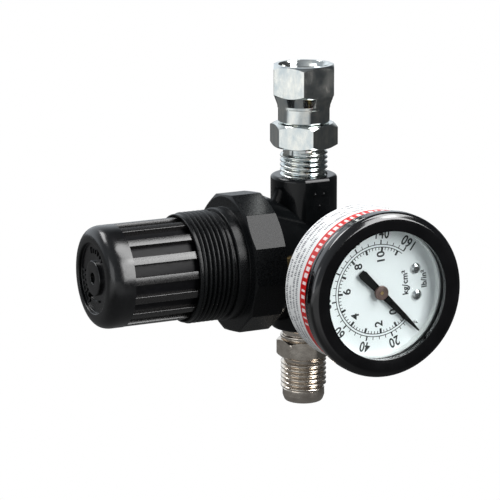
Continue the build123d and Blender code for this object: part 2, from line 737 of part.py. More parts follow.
with BuildPart() as gauge_case:
    tube(gauge_side, case_radius, 0, case_rear, case_front)
    fillet(gauge_case.edges().group_by(Axis.Y)[-1], case_corner)
    tube(gauge_side, case_inner, 0, case_rear + case_wall, case_front, Mode.SUBTRACT)
    tube(gauge_side, socket_stem_radius + thread_play, 0, case_rear, case_front, Mode.SUBTRACT)
save(gauge_case, "gauge_case")

with BuildPart() as label_band:
    tube(gauge_side, case_radius + label_thickness, case_radius, label_start, label_start + label_length)
save(label_band, "label_band")

with BuildPart() as bezel:
    bezel_bore = case_radius + 0.02
    roll_low = (bezel_radius, bezel_front - bezel_roll)
    roll_high = (bezel_radius - bezel_roll, bezel_front)
    with BuildSketch(half_section(gauge_side)):
        with BuildLine():
            Polyline((bezel_bore, bezel_rear), (bezel_radius - 0.5, bezel_rear),
                     (bezel_radius, bezel_rear + 0.7), roll_low)
            RadiusArc(roll_low, roll_high, -1.06 * bezel_roll)
            Polyline(roll_high, (bezel_opening, bezel_front - 0.1), (bezel_opening, lens_high),
                     (case_inner, lens_high), (case_inner, case_front + 0.05),
                     (bezel_bore, case_front + 0.05), (bezel_bore, bezel_rear))
        make_face()
    revolve(axis=Axis(gauge_side.origin, gauge_side.z_dir))
save(bezel, "bezel")

with BuildPart() as lens:
    tube(gauge_side, case_inner - 0.1, 0, lens_low, lens_high)
save(lens, "lens")

with BuildPart() as lens_gasket:
    tube(gauge_side, case_inner - 0.1, spacer_inner_radius + 0.4, gasket_low, lens_low)
save(lens_gasket, "lens_gasket")

with BuildPart() as dial_spacer:
    tube(gauge_side, case_inner - 0.1, spacer_inner_radius, dial_face, gasket_low)
save(dial_spacer, "dial_spacer")

# ---- gauge: dial, pointer and what is fixed to the dial ------------------------------------------

stop_place = (stop_pin_place * cos(radians(stop_pin_angle)), stop_pin_place * sin(radians(stop_pin_angle)))

with BuildPart() as dial:
    with BuildSketch(gauge_side.offset(dial_back)):
        Circle(case_inner - 0.2)
        Circle(3 * arbor_radius, mode=Mode.SUBTRACT)
        with Locations(*dial_screw_places):
            Circle(0.75, mode=Mode.SUBTRACT)
        with Locations(stop_place):
            Circle(stop_pin_radius, mode=Mode.SUBTRACT)
    extrude(amount=dial_thickness)
save(dial, "dial")

with BuildPart() as dial_screws:
    with BuildSketch(gauge_side.offset(dial_face)):
        with Locations(*dial_screw_places):
            Circle(dial_screw_radius)
    extrude(amount=0.7)
    fillet(dial_screws.edges().group_by(Axis.Y)[0], 0.45)
    with BuildSketch(gauge_side.offset(dial_face)):
        with Locations(*dial_screw_places):
            Circle(0.7)
    extrude(amount=front_plate_high - dial_face)
save(dial_screws, "dial_screws")

with BuildPart() as stop_pin:
    with BuildSketch(gauge_side.offset(dial_back)):
        with Locations(stop_place):
            Circle(stop_pin_radius)
    extrude(amount=pointer_high + 0.2 - dial_back)
save(stop_pin, "stop_pin")

with BuildPart() as pointer:
    with BuildSketch(swung(gauge_side.offset(pointer_low), pointer_angle)):
        with BuildLine():
            taper = pointer_length - pointer_taper
            Polyline((-pointer_tail, -tail_half), (-pointer_tail, tail_half),
                     (-pointer_hub_radius, blade_half), (taper, blade_half), (pointer_length, 0),
                     (taper, -blade_half), (-pointer_hub_radius, -blade_half), close=True)
        make_face()
        Circle(arbor_radius, mode=Mode.SUBTRACT)
    extrude(amount=pointer_thickness)
save(pointer, "pointer")

with BuildPart() as pointer_hub:
    tube(gauge_side, pointer_hub_radius, arbor_radius, pointer_high, pointer_high + 0.8)
save(pointer_hub, "pointer_hub")

# ---- gauge movement ------------------------------------------------------------------------------

sector_place = sector_radius + pinion_radius + 0.1
sector_centre = (sector_place * cos(radians(sector_angle)), sector_place * sin(radians(sector_angle)))
pinion_low = rear_plate_high + 1.2
pinion_high = pinion_low + 1.4

with BuildPart() as pinion_arbor:
    tube(gauge_side, arbor_radius, 0, rear_plate_low, pointer_high + 0.8)
    tube(gauge_side, pinion_radius, 0, pinion_low, pinion_high)
save(pinion_arbor, "pinion_arbor")

sector_side = Plane(
    origin=gauge_side.from_local_coords((*sector_centre, 0)),
    x_dir=swung(gauge_side, sector_angle).x_dir, z_dir=gauge_side.z_dir,
)

with BuildPart() as sector_gear:
    # a fan that faces the pinion, on an arbor, with a tail that the link pulls
    fan_side = swung(sector_side, 180 - sector_lead)
    fan_low = pinion_low + face_gap
    fan_high = pinion_high - face_gap
    turn(fan_side, [(0, fan_low), (sector_radius, fan_low), (sector_radius, fan_high), (0, fan_high)],
         arc=sector_arc)
    with BuildSketch(sector_side.offset(fan_low)):
        Circle(1.6)
        with Locations((sector_tail / 2, 0)):
            Rectangle(sector_tail, 1.8)
    extrude(amount=fan_high - fan_low)
    tube(sector_side, arbor_radius, 0, rear_plate_low, front_plate_high)
save(sector_gear, "sector_gear")

with BuildPart() as link:
    link_foot = gauge_side.to_local_coords(sector_side.from_local_coords(Vector(sector_tail - 0.9, 0, 0)))
    link_head = Vector(tube_radius * cos(radians(tube_end)), tube_radius * sin(radians(tube_end)), 0)
    reach = link_head - Vector(link_foot.X, link_foot.Y, 0)
    middle = Vector(link_foot.X, link_foot.Y, 0) + reach * 0.5
    link_low = fan_low - face_gap / 2 - link_thickness
    with BuildSketch(gauge_side.offset(link_low)):
        with Locations(Location((middle.X, middle.Y, 0), (0, 0, Vector(1, 0, 0).get_signed_angle(reach)))):
            SlotCenterToCenter(reach.length, link_width)
    extrude(amount=link_thickness)
save(link, "link")

with BuildPart() as movement_rear_plate:
    with BuildSketch(gauge_side.offset(rear_plate_low)):
        Circle(movement_radius)
        with Locations(sector_centre):
            Circle(2.2)
        Circle(arbor_radius + running, mode=Mode.SUBTRACT)
        with Locations(sector_centre):
            Circle(arbor_radius + running, mode=Mode.SUBTRACT)
    extrude(amount=movement_plate)
save(movement_rear_plate, "movement_rear_plate")

with BuildPart() as movement_front_plate:
    with BuildSketch(gauge_side.offset(front_plate_low)):
        Circle(movement_radius)
        with Locations(sector_centre):
            Circle(2.2)
        with Locations(*dial_screw_places):
            Circle(1.8)
        make_hull()
        Circle(arbor_radius + running, mode=Mode.SUBTRACT)
        with Locations(sector_centre):
            Circle(arbor_radius + running, mode=Mode.SUBTRACT)
    extrude(amount=movement_plate)
save(movement_front_plate, "movement_front_plate")

with BuildPart() as movement_pillars:
    with BuildSketch(gauge_side.offset(rear_plate_high)):
        with PolarLocations(movement_radius - pillar_inset, 3, pillar_start, angular_range=270.0):
            Circle(pillar_radius)
    extrude(amount=plate_gap)
save(movement_pillars, "movement_pillars")

with BuildPart() as bourdon_tube:
    tube_inner = tube_radius - tube_thickness / 2
    tube_outer = tube_radius + tube_thickness / 2
    turn(swung(gauge_side, tube_start), [
        (tube_inner, tube_low), (tube_outer, tube_low), (tube_outer, tube_high), (tube_inner, tube_high),
    ], arc=tube_end - tube_start)
    with BuildSketch(swung(gauge_side.offset(tube_high), tube_end)):
        with Locations((tube_radius, 0)):
            Circle(tip_post_radius)
    extrude(amount=link_low - face_gap / 2 - tube_high)
save(bourdon_tube, "bourdon_tube")

# ---- plug in the rear gauge port -----------------------------------------------------------------

with BuildPart() as port_plug:
    port_plug_foot = gauge_boss_end - port_plug_screwed
    port_plug_face = gauge_boss_end + port_plug_proud
    turn(plug_side, [
        (0, port_plug_foot), (gauge_thread_radius - 0.7, port_plug_foot),
        (gauge_thread_radius, port_plug_foot + 0.7), (gauge_thread_radius, port_plug_face - 0.4),
        (gauge_thread_radius - 0.4, port_plug_face), (0, port_plug_face),
    ])
    with BuildSketch(plug_side.offset(port_plug_face)):
        RegularPolygon(port_plug_key / 2, 6, major_radius=False)
    extrude(amount=-port_plug_key_depth, mode=Mode.SUBTRACT)
save(port_plug, "port_plug")
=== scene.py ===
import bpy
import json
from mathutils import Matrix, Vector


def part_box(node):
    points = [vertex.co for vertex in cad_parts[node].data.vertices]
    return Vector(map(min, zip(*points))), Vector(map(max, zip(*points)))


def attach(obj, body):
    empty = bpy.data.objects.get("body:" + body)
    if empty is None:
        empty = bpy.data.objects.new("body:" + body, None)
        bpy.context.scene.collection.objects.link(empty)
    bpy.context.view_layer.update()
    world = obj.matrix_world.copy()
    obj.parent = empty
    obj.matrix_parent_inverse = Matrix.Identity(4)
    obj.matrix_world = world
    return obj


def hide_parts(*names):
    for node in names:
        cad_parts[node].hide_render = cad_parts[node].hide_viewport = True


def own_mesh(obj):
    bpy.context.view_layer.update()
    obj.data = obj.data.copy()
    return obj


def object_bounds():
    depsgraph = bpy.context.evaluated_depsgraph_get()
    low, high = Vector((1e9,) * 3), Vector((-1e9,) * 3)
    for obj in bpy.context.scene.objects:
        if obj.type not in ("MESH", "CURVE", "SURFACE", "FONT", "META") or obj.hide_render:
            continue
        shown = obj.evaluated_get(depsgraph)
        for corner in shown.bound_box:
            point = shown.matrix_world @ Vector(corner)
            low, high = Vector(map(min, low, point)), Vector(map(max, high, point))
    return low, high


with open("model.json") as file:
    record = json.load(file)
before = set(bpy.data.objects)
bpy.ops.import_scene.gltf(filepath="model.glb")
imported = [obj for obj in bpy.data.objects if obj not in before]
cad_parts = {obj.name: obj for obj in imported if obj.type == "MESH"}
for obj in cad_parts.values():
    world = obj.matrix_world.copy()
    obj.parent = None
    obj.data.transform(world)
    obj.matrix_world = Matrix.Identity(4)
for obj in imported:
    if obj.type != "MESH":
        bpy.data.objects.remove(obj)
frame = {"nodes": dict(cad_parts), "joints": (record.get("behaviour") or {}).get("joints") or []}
cad_box = [list(corner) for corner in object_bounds()]

import json
from math import atan2, cos, hypot, pi, radians, sin, sqrt

import bmesh
import bpy
from mathutils import Matrix, Vector

scene = bpy.context.scene

# ---- Camera ----
# A long lens a little above the regulator and to the knob's side of the dial, level within a hair.

aim = Vector((0.0, 0.0, 0.0385))
eye = Vector((-0.3334, -0.6563, 0.2035))
heading, dip, roll = radians(25.72), radians(13.157), radians(-0.19)
ahead = Vector((sin(heading) * cos(dip), cos(heading) * cos(dip), -sin(dip)))
across = ahead.cross(Vector((0, 0, 1))).normalized()
above = across.cross(ahead)
right = across * cos(roll) + above * sin(roll)
above = above * cos(roll) - across * sin(roll)
lens_unit = bpy.data.cameras.new("camera")
lens_unit.lens = 187.6
lens_unit.sensor_width = 36.0
lens_unit.clip_end = 20.0
camera = bpy.data.objects.new("camera", lens_unit)
facing = Matrix((right, above, -ahead)).transposed().to_4x4()
camera.matrix_world = Matrix.Translation(eye) @ facing
scene.collection.objects.link(camera)
scene.camera = camera

# ---- The three axes ----
# The regulator is put together along three lines: the port axis, the knob's axis and the gauge's
# axis. A piece is made standing on its own z, in millimetres, and then laid along its line.

hinge = {joint["name"]: joint for joint in frame["joints"]}
knob_height = hinge["knob_turn"]["pos_m"][2]
gauge_height = hinge["pointer_swing"]["pos_m"][2]
along_port = Matrix.Identity(4)
along_knob = Matrix(((0, 0, -1, 0), (0, 1, 0, 0), (1, 0, 0, knob_height), (0, 0, 0, 1)))
along_gauge = Matrix(((1, 0, 0, 0), (0, 0, -1, 0), (0, 1, 0, gauge_height), (0, 0, 0, 1)))
millimetre = 0.001


def span(node, place):
    """Where a CAD piece starts and ends along one of the three lines, in millimetres."""
    inward = place.inverted()
    heights = [(inward @ corner).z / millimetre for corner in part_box(node)]
    return min(heights), max(heights)


# ---- Body casting ----
# Die-cast body in gloss black paint. Four bosses cross a bowl that holds the diaphragm. The paint
# softens the casting's fine unevenness but doesn't hide it.


def add_node(tree, kind, inputs=None, **options):
    """One node of a tree, with its inputs given as values or as the sockets that feed them."""
    item = tree.nodes.new(kind)
    for name, value in options.items():
        setattr(item, name, value)
    for name, value in (inputs or {}).items():
        if isinstance(value, bpy.types.NodeSocket):
            tree.links.new(value, item.inputs[name])
        else:
            item.inputs[name].default_value = value
    return item


def fade(tree, value, start, end, first=1.0, last=0.0):
    """A level that goes from one value to another as a value does."""
    return add_node(tree, "ShaderNodeMapRange", {
        "Value": value, "From Min": start, "From Max": end, "To Min": first,
        "To Max": last}).outputs[0]


def finish(name, tones, gloss, metallic=0.0, mottle=(1, 1, 1), mottle_size=3.0, grain=(1, 1, 1),
           grain_size=0.3, depth=0.02, specular=0.5, coat=0.0, coat_gloss=0.05):
    """A finish between two tones and two roughnesses, with a fine grain cut or cast into it."""
    material = bpy.data.materials.new(name)
    material.use_nodes = True
    tree = material.node_tree
    shader = tree.nodes["Principled BSDF"]
    place = add_node(tree, "ShaderNodeTexCoord").outputs["Object"]
    patches = add_node(tree, "ShaderNodeMapping", {"Vector": place, "Scale": mottle})
    cloud = add_node(tree, "ShaderNodeTexNoise", {
        "Vector": patches.outputs[0], "Scale": 1 / (mottle_size * millimetre), "Detail": 4.0,
        "Roughness": 0.6})
    spread = fade(tree, cloud.outputs[0], 0.32, 0.68, 0.0, 1.0)
    colour = add_node(tree, "ShaderNodeMix", {
        "Factor": spread, "A": (*tones[0], 1), "B": (*tones[1], 1)}, data_type="RGBA")
    tree.links.new(colour.outputs["Result"], shader.inputs["Base Color"])
    sheen = fade(tree, cloud.outputs[0], 0.3, 0.7, gloss[0], gloss[1])
    tree.links.new(sheen, shader.inputs["Roughness"])
    strokes = add_node(tree, "ShaderNodeMapping", {"Vector": place, "Scale": grain})
    fine = add_node(tree, "ShaderNodeTexNoise", {
        "Vector": strokes.outputs[0], "Scale": 1 / (grain_size * millimetre), "Detail": 3.0})
    bump = add_node(tree, "ShaderNodeBump", {
        "Height": fine.outputs[0], "Distance": depth * millimetre, "Strength": 1.0})
    tree.links.new(bump.outputs[0], shader.inputs["Normal"])
    shader.inputs["Metallic"].default_value = metallic
    shader.inputs["Specular IOR Level"].default_value = specular
    shader.inputs["Coat Weight"].default_value = coat
    shader.inputs["Coat Roughness"].default_value = coat_gloss
    return material


def dress(node, material):
    """Give a CAD piece its finish."""
    mesh = frame["nodes"][node].data
    mesh.materials.clear()
    mesh.materials.append(material)


black_paint = finish("black_paint", ((0.0015, 0.0018, 0.002), (0.003, 0.0034, 0.0038)),
                     (0.12, 0.20), mottle_size=6.0, grain_size=0.5, depth=0.005, specular=0.22,
                     coat=0.12, coat_gloss=0.06)
dress("body", black_paint)

# ---- Valve, its spring, the plugs and seals ----
# A brass poppet with a rubber washer closes the seat from behind, under a light spring. A black
# hexagon plug with an O-ring closes the body opposite the knob, and a steel plug the spare port.

turned_brass = finish("turned_brass", ((0.62, 0.43, 0.16), (0.74, 0.54, 0.24)), (0.22, 0.34), 1.0,
                      grain_size=0.15, depth=0.006)
spring_steel = finish("spring_steel", ((0.50, 0.50, 0.51), (0.62, 0.62, 0.63)), (0.2, 0.34), 1.0,
                      grain_size=0.2, depth=0.004)
nitrile = finish("nitrile", ((0.012, 0.012, 0.012), (0.02, 0.02, 0.021)), (0.55, 0.7),
                 grain_size=0.12, depth=0.01)
moulded_black = finish("moulded_black", ((0.003, 0.003, 0.0035), (0.006, 0.006, 0.0065)),
                       (0.30, 0.42), grain_size=0.10, depth=0.006)
zinc_plate = finish("zinc_plate", ((0.60, 0.66, 0.68), (0.86, 0.86, 0.81)), (0.07, 0.16), 1.0,
                    mottle=(1, 1, 0.6), mottle_size=2.5, grain=(1, 1, 0.5), grain_size=0.6,
                    depth=0.006)
for node in ("valve", "relief_rivet", "spring_nut"):
    dress(node, turned_brass)
for node in ("retaining_wire", "adjusting_screw", "screw_clip"):
    dress(node, spring_steel)
for node in ("valve_seal", "plug_ring", "diaphragm"):
    dress(node, nitrile)
dress("rear_plug", moulded_black)
dress("port_plug", zinc_plate)

# ---- Diaphragm plate and slip ring ----
# A stamped aluminium plate spreads the main spring's force over the diaphragm, and an acetal ring
# lets the bonnet be screwed down on the diaphragm's rim without dragging it round.

stamped = finish("stamped_aluminium", ((0.66, 0.67, 0.68), (0.75, 0.76, 0.77)), (0.34, 0.46), 1.0,
                 depth=0.006)
acetal = finish("white_acetal", ((0.80, 0.80, 0.78), (0.86, 0.86, 0.85)), (0.38, 0.48),
                grain_size=0.4, depth=0.004)
dress("diaphragm_plate", stamped)
dress("slip_ring", acetal)

# ---- Inlet nipple ----
# Nickel-plated brass, turned from hexagon bar: a rounded tip and coarse pipe thread below, then the
# hexagon with its corners turned off, a raised lip, and the thread that goes up into the body.


def rounded(outline):
    """An outline of (radius, height, corner radius) points with its corners drawn as arcs."""
    points = []
    count = len(outline)
    for index, (r, h, *corner) in enumerate(outline):
        here = Vector((r, h))
        if not corner:
            points.append(here)
            continue
        before = Vector(outline[index - 1][:2]) - here
        after = Vector(outline[(index + 1) % count][:2]) - here
        turn = before.angle(after)
        share = corner[1] if len(corner) > 1 else 0.49
        away = min(corner[0] * cos(turn / 2) / sin(turn / 2),
                   share * before.length, share * after.length)
        start, end = here + before.normalized() * away, here + after.normalized() * away
        steps = 4 if corner[0] < 1 else 12
        for step in range(steps + 1):
            t = step / steps
            points.append(start * (1 - t) ** 2 + here * 2 * t * (1 - t) + end * t * t)
    return [tuple(point) for point in points]


def flats(count, across, turn, corner=0.12, turned_to=None, steps=14):
    """The edge of a bar with flat sides: its corners' angles, and its radius at any angle."""
    half = pi / count
    pull = (across / 2 - corner) / cos(half)
    edge = atan2(corner * sin(half), pull + corner * cos(half))
    angles = []
    for side in range(count):
        first = radians(turn) + 2 * half * side
        angles += [first - edge + edge * step / 2 for step in range(5)]
        angles += [first + edge + (2 * half - 2 * edge) * step / steps for step in range(1, steps)]

    def rim(angle):
        off = abs((angle - radians(turn) + half) % (2 * half) - half)
        if off < edge:
            reach = pull * cos(off) + sqrt(max(0.0, corner ** 2 - (pull * sin(off)) ** 2))
        else:
            reach = across / 2 / cos(half - off)
        return min(reach, turned_to) if turned_to else reach

    return angles, rim


def trimmed(points, limit):
    """An outline, with as many points, after a cutter has taken off what lies beyond a radius."""
    kept = list(points)
    count = len(points)
    index = 0
    while index < count:
        last = index
        if points[index][0] > limit:
            while points[last + 1][0] > limit:
                last += 1
            ends = []
            for inside, outside in ((points[index - 1], points[index]),
                                    (points[last + 1], points[last])):
                share = (limit - inside[0]) / (outside[0] - inside[0])
                ends.append(inside[1] + (outside[1] - inside[1]) * share)
            for number in range(index, last + 1):
                share = (number - index) / max(1, last - index)
                kept[number] = (limit, ends[0] + (ends[1] - ends[0]) * share)
        index = last + 1
    return kept


def made(name, shape):
    """A shape, once built, as a blank in the scene."""
    bmesh.ops.recalc_face_normals(shape, faces=shape.faces)
    mesh = bpy.data.meshes.new(name)
    shape.to_mesh(mesh)
    shape.free()
    piece = bpy.data.objects.new(name + "_blank", mesh)
    scene.collection.objects.link(piece)
    return piece


def turned(name, outline, bar=None, steps=128):
    """A closed solid turned from an outline, out of round bar or out of a bar with flats."""
    angles = [2 * pi * step / steps for step in range(steps)]
    rim = None
    if bar:
        angles, rim = bar
    points = rounded(outline)
    shape = bmesh.new()
    rings = []
    poles = {}
    for angle in angles:
        ring = []
        for number, (r, h) in enumerate(trimmed(points, rim(angle)) if rim else points):
            if r < 1e-6:
                if number not in poles:
                    poles[number] = shape.verts.new((0, 0, h))
                ring.append(poles[number])
            else:
                ring.append(shape.verts.new((r * cos(angle), r * sin(angle), h)))
        rings.append(ring)
    count = len(points)
    for index, ring in enumerate(rings):
        after = rings[(index + 1) % len(rings)]
        for number in range(count):
            second = (number + 1) % count
            corners = [ring[number], after[number], after[second], ring[second]]
            face = list(dict.fromkeys(corners))
            if len(face) > 2:
                shape.faces.new(face)
    return made(name, shape)


def grow(piece, tree, **inputs):
    """Put a Geometry Nodes tree on a piece, with its inputs set by name."""
    modifier = piece.modifiers.new(tree.name, "NODES")
    modifier.node_group = tree
    for item in tree.interface.items_tree:
        key = item.name.replace(" ", "_").lower()
        if item.in_out == "INPUT" and key in inputs:
            modifier[item.identifier] = inputs[key]
    return piece


def settle(piece, name, place, body, node, material=None, edge=32.0):
    """Apply everything on a piece, lay it along its line and let it stand for its CAD node."""
    if material:
        piece.data.materials.clear()
        piece.data.materials.append(material)
    bpy.context.view_layer.update()
    seen = piece.evaluated_get(bpy.context.evaluated_depsgraph_get())
    mesh = bpy.data.meshes.new_from_object(seen)
    mesh.name = name
    bpy.data.objects.remove(piece)
    mesh.transform(place @ Matrix.Scale(millimetre, 4))
    for face in mesh.polygons:
        face.use_smooth = True
    mesh.set_sharp_from_angle(angle=radians(edge))
    result = bpy.data.objects.new(name, mesh)
    scene.collection.objects.link(result)
    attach(result, body)
    if node:
        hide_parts(node)
    return result


def new_tree(name, sockets):
    """A Geometry Nodes tree with a geometry in and out and named inputs, and its two end nodes."""
    tree = bpy.data.node_groups.new(name, "GeometryNodeTree")
    kinds = {float: "NodeSocketFloat", int: "NodeSocketInt"}
    tree.interface.new_socket("Blank", in_out="INPUT", socket_type="NodeSocketGeometry")
    for label, value in sockets.items():
        kind = kinds.get(type(value), "NodeSocketMaterial")
        socket = tree.interface.new_socket(label, in_out="INPUT", socket_type=kind)
        if value is not None:
            socket.default_value = value
    tree.interface.new_socket("Piece", in_out="OUTPUT", socket_type="NodeSocketGeometry")
    return tree, tree.nodes.new("NodeGroupInput").outputs, tree.nodes.new("NodeGroupOutput").inputs


def maths(tree, operation, first, second=0.0):
    """The result of one sum in a tree."""
    return add_node(tree, "ShaderNodeMath", {0: first, 1: second}, operation=operation).outputs[0]


def times(tree, first, second):
    """Two values multiplied."""
    return maths(tree, "MULTIPLY", first, second)


def combined(tree, x=0.0, y=0.0, z=0.0):
    """Three numbers as one vector."""
    return add_node(tree, "ShaderNodeCombineXYZ", {"X": x, "Y": y, "Z": z}).outputs[0]


def close_tree(tree, blank, added, material, out):
    """Join what the tree made to the blank, make it real and give it its finish, if it has one."""
    both = add_node(tree, "GeometryNodeJoinGeometry")
    tree.links.new(added, both.inputs[0])
    if blank is not None:
        tree.links.new(blank, both.inputs[0])
    done = add_node(tree, "GeometryNodeRealizeInstances", {"Geometry": both.outputs[0]})
    if material is not None:
        done = add_node(tree, "GeometryNodeSetMaterial", {
            "Geometry": done.outputs[0], "Material": material})
    tree.links.new(done.outputs[0], out["Piece"])


def helix(tree, given, radius, turns, resolution):
    """A line that winds up a shank from the low end."""
    line = add_node(tree, "GeometryNodeCurveSpiral", {
        "Resolution": resolution, "Rotations": turns, "Start Radius": radius, "End Radius": radius,
        "Height": given["Length"]})
    return add_node(tree, "GeometryNodeTransform", {
        "Geometry": line.outputs[0], "Translation": combined(tree, z=given["Low"])}).outputs[0]


def thread_tree():
    """A screw thread: a ridge with a rounded crest that winds up a shank and fades at its ends."""
    tree, given, out = new_tree("Screw thread", {
        "Root": 5.9, "Depth": 0.8, "Pitch": 1.411, "Low": 0.0, "Length": 10.0, "Crest": 0.3,
        "Round": 0.14, "Turn in": 0.0, "Finish": None})
    turns = maths(tree, "DIVIDE", given["Length"], given["Pitch"])
    upright = add_node(tree, "GeometryNodeSetCurveNormal", {
        "Curve": helix(tree, given, given["Root"], turns, 72)}, mode="Z_UP")
    ridge = add_node(tree, "GeometryNodeCurvePrimitiveQuadrilateral", {
        "Height": times(tree, given["Depth"], 2.0),
        "Bottom Width": times(tree, given["Pitch"], 1.9),
        "Top Width": given["Crest"], "Offset": 0.0}, mode="TRAPEZOID")
    soft = add_node(tree, "GeometryNodeFilletCurve", {
        "Curve": ridge.outputs[0], "Count": 4, "Radius": given["Round"], "Limit Radius": True},
        mode="POLY")
    lean = maths(tree, "SUBTRACT", pi / 2, times(tree, given["Turn in"], pi))
    facing = add_node(tree, "GeometryNodeTransform", {
        "Geometry": soft.outputs[0], "Rotation": combined(tree, z=lean)})
    along = add_node(tree, "GeometryNodeSplineParameter").outputs["Length"]
    whole = times(tree, times(tree, turns, given["Root"]), 2 * pi)
    ends = maths(tree, "MINIMUM", along, maths(tree, "SUBTRACT", whole, along))
    runout = add_node(tree, "ShaderNodeMapRange", {
        "Value": ends, "From Min": 0.0, "From Max": times(tree, given["Root"], 1.4),
        "To Min": 0.05, "To Max": 1.0}, interpolation_type="SMOOTHSTEP")
    wound = add_node(tree, "GeometryNodeCurveToMesh", {
        "Curve": upright.outputs[0], "Profile Curve": facing.outputs[0],
        "Scale": runout.outputs[0], "Fill Caps": True})
    close_tree(tree, given["Blank"], wound.outputs[0], given["Finish"], out)
    return tree


screw_thread = thread_tree()
nickel = finish("nickel_plate", ((0.66, 0.59, 0.52), (0.86, 0.79, 0.70)), (0.14, 0.24), 1.0,
                mottle=(1, 1, 2), grain=(1, 1, 4), grain_size=0.6, depth=0.0015)
nipple_low, nipple_high = span("inlet_nipple", along_port)
pipe_pitch = 1.411
nipple_crest, nipple_root, nipple_bore = 6.65, 5.85, 3.4
nipple_hex = 5.2
nipple = turned("inlet_nipple", [
    (nipple_bore, nipple_low, 0.4), (5.5, nipple_low, 0.9), (6.15, nipple_low + 1.8, 0.8),
    (6.1, nipple_low + 3.6, 0.3), (nipple_root, nipple_low + 4.0), (nipple_root, -0.5, 0.2),
    (6.9, 0.0, 0.2), (7.9, 0.62, 0.1), (7.9, nipple_hex - 0.62, 0.1), (6.9, nipple_hex, 0.2),
    (5.9, nipple_hex + 0.05, 0.1), (5.9, nipple_hex + 0.35), (6.75, nipple_hex + 0.4, 0.35),
    (6.75, nipple_hex + 1.35, 0.35), (6.1, nipple_hex + 1.5, 0.1), (6.25, nipple_hex + 2.2),
    (6.25, nipple_hex + 4.0), (nipple_root, nipple_hex + 4.4), (nipple_root, nipple_high - 0.6),
    (5.2, nipple_high), (nipple_bore, nipple_high),
], flats(6, 14.0, 33.0, turned_to=7.9))
grow(nipple, screw_thread, root=nipple_root, depth=nipple_crest - nipple_root, pitch=pipe_pitch,
     low=-9.7, length=8.9, crest=0.34, round=0.18, finish=nickel)
grow(nipple, screw_thread, root=nipple_root, depth=nipple_crest - nipple_root, pitch=pipe_pitch,
     low=nipple_hex + 2.6, length=9.0, crest=0.3, round=0.16, finish=nickel)
settle(nipple, "inlet_nipple_turned", along_port, "root", "inlet_nipple")

# ---- Outlet adaptor ----
# Zinc-plated steel, from 11/16 inch hexagon bar chamfered on both faces. Its pipe thread goes down
# into the body, and its coned nose stands inside the swivel nut.

adaptor_low, adaptor_high = span("outlet_adaptor", along_port)
hex_low, hex_high = 62.2, 69.1
adaptor_crest, adaptor_root, adaptor_bore = 6.85, 6.0, 3.2
hex_face, hex_corner = 8.38, 10.08
chamfer_slope = 0.577     # 30 degrees
chamfer_drop = (hex_corner - hex_face) * chamfer_slope
adaptor = turned("outlet_adaptor", [
    (adaptor_bore, adaptor_low), (adaptor_root - 0.4, adaptor_low),
    (adaptor_root, adaptor_low + 0.5), (adaptor_root, hex_low - 0.1, 0.15),
    (hex_face, hex_low, 0.15), (hex_corner, hex_low + chamfer_drop),
    (hex_corner, hex_high - chamfer_drop), (hex_face, hex_high, 0.15), (5.6, hex_high + 0.02, 0.2),
    (5.6, 71.7), (5.05, 71.9), (5.05, 72.9), (5.6, 73.1), (5.6, adaptor_high - 2.9),
    (4.0, adaptor_high, 0.2), (adaptor_bore, adaptor_high, 0.1),
], flats(6, 17.46, 18.7))
grow(adaptor, screw_thread, root=adaptor_root, depth=adaptor_crest - adaptor_root, pitch=pipe_pitch,
     low=adaptor_low + 1.0, length=hex_low - adaptor_low - 2.3, crest=0.3, round=0.15,
     finish=zinc_plate)
settle(adaptor, "outlet_adaptor_turned", along_port, "root", "outlet_adaptor")

# ---- Swivel nut ----
# Zinc-plated steel nut. A plain skirt turns on the adaptor's neck, held by a round wire. Above it a
# cone opens out to the hexagon, whose mouth has a chamfered internal pipe thread.

nut_low, nut_high = span("swivel_nut", along_port)
nut_wall, nut_major, nut_mouth = 6.05, 6.80, 7.35
nut = turned("swivel_nut", [
    (5.66, nut_low, 0.1), (7.4, nut_low, 0.35), (7.4, nut_low + 4.05, 0.05),
    (7.56, nut_low + 4.15, 0.05), (7.62, nut_low + 4.9, 0.4), (8.62, nut_low + 7.6, 0.5),
    (9.94, nut_low + 8.45), (9.94, nut_high - 0.95), (8.35, nut_high, 0.12),
    (nut_mouth, nut_high, 0.12), (nut_major, nut_high - 0.9), (nut_major, nut_low + 8.2, 0.2),
    (5.66, nut_low + 7.9, 0.1),
], flats(6, 17.2, 3.0, corner=0.2))
grow(nut, screw_thread, root=nut_major, depth=nut_major - nut_wall, pitch=pipe_pitch,
     low=nut_low + 8.6, length=6.6, crest=0.3, round=0.15, turn_in=1.0, finish=zinc_plate)
settle(nut, "swivel_nut_turned", along_port, "swivel_nut", "swivel_nut")

# ---- Main spring and valve spring ----
# Two open coils of round spring wire on the knob's axis. In the regulator the main spring shortens
# as the knob turns its nut inwards, and the valve spring as the valve opens; here both stay at
# their CAD length.


def coil_tree():
    """A coil of round wire between two faces."""
    tree, given, out = new_tree("Coil spring", {
        "Radius": 10.0, "Wire": 0.9, "Low": 0.0, "Length": 10.0, "Pitch": 2.9, "Finish": None})
    turns = maths(tree, "DIVIDE", given["Length"], given["Pitch"])
    section = add_node(tree, "GeometryNodeCurvePrimitiveCircle", {
        "Resolution": 16, "Radius": given["Wire"]})
    wound = add_node(tree, "GeometryNodeCurveToMesh", {
        "Curve": helix(tree, given, given["Radius"], turns, 48),
        "Profile Curve": section.outputs[0], "Fill Caps": True})
    close_tree(tree, None, wound.outputs[0], given["Finish"], out)
    return tree


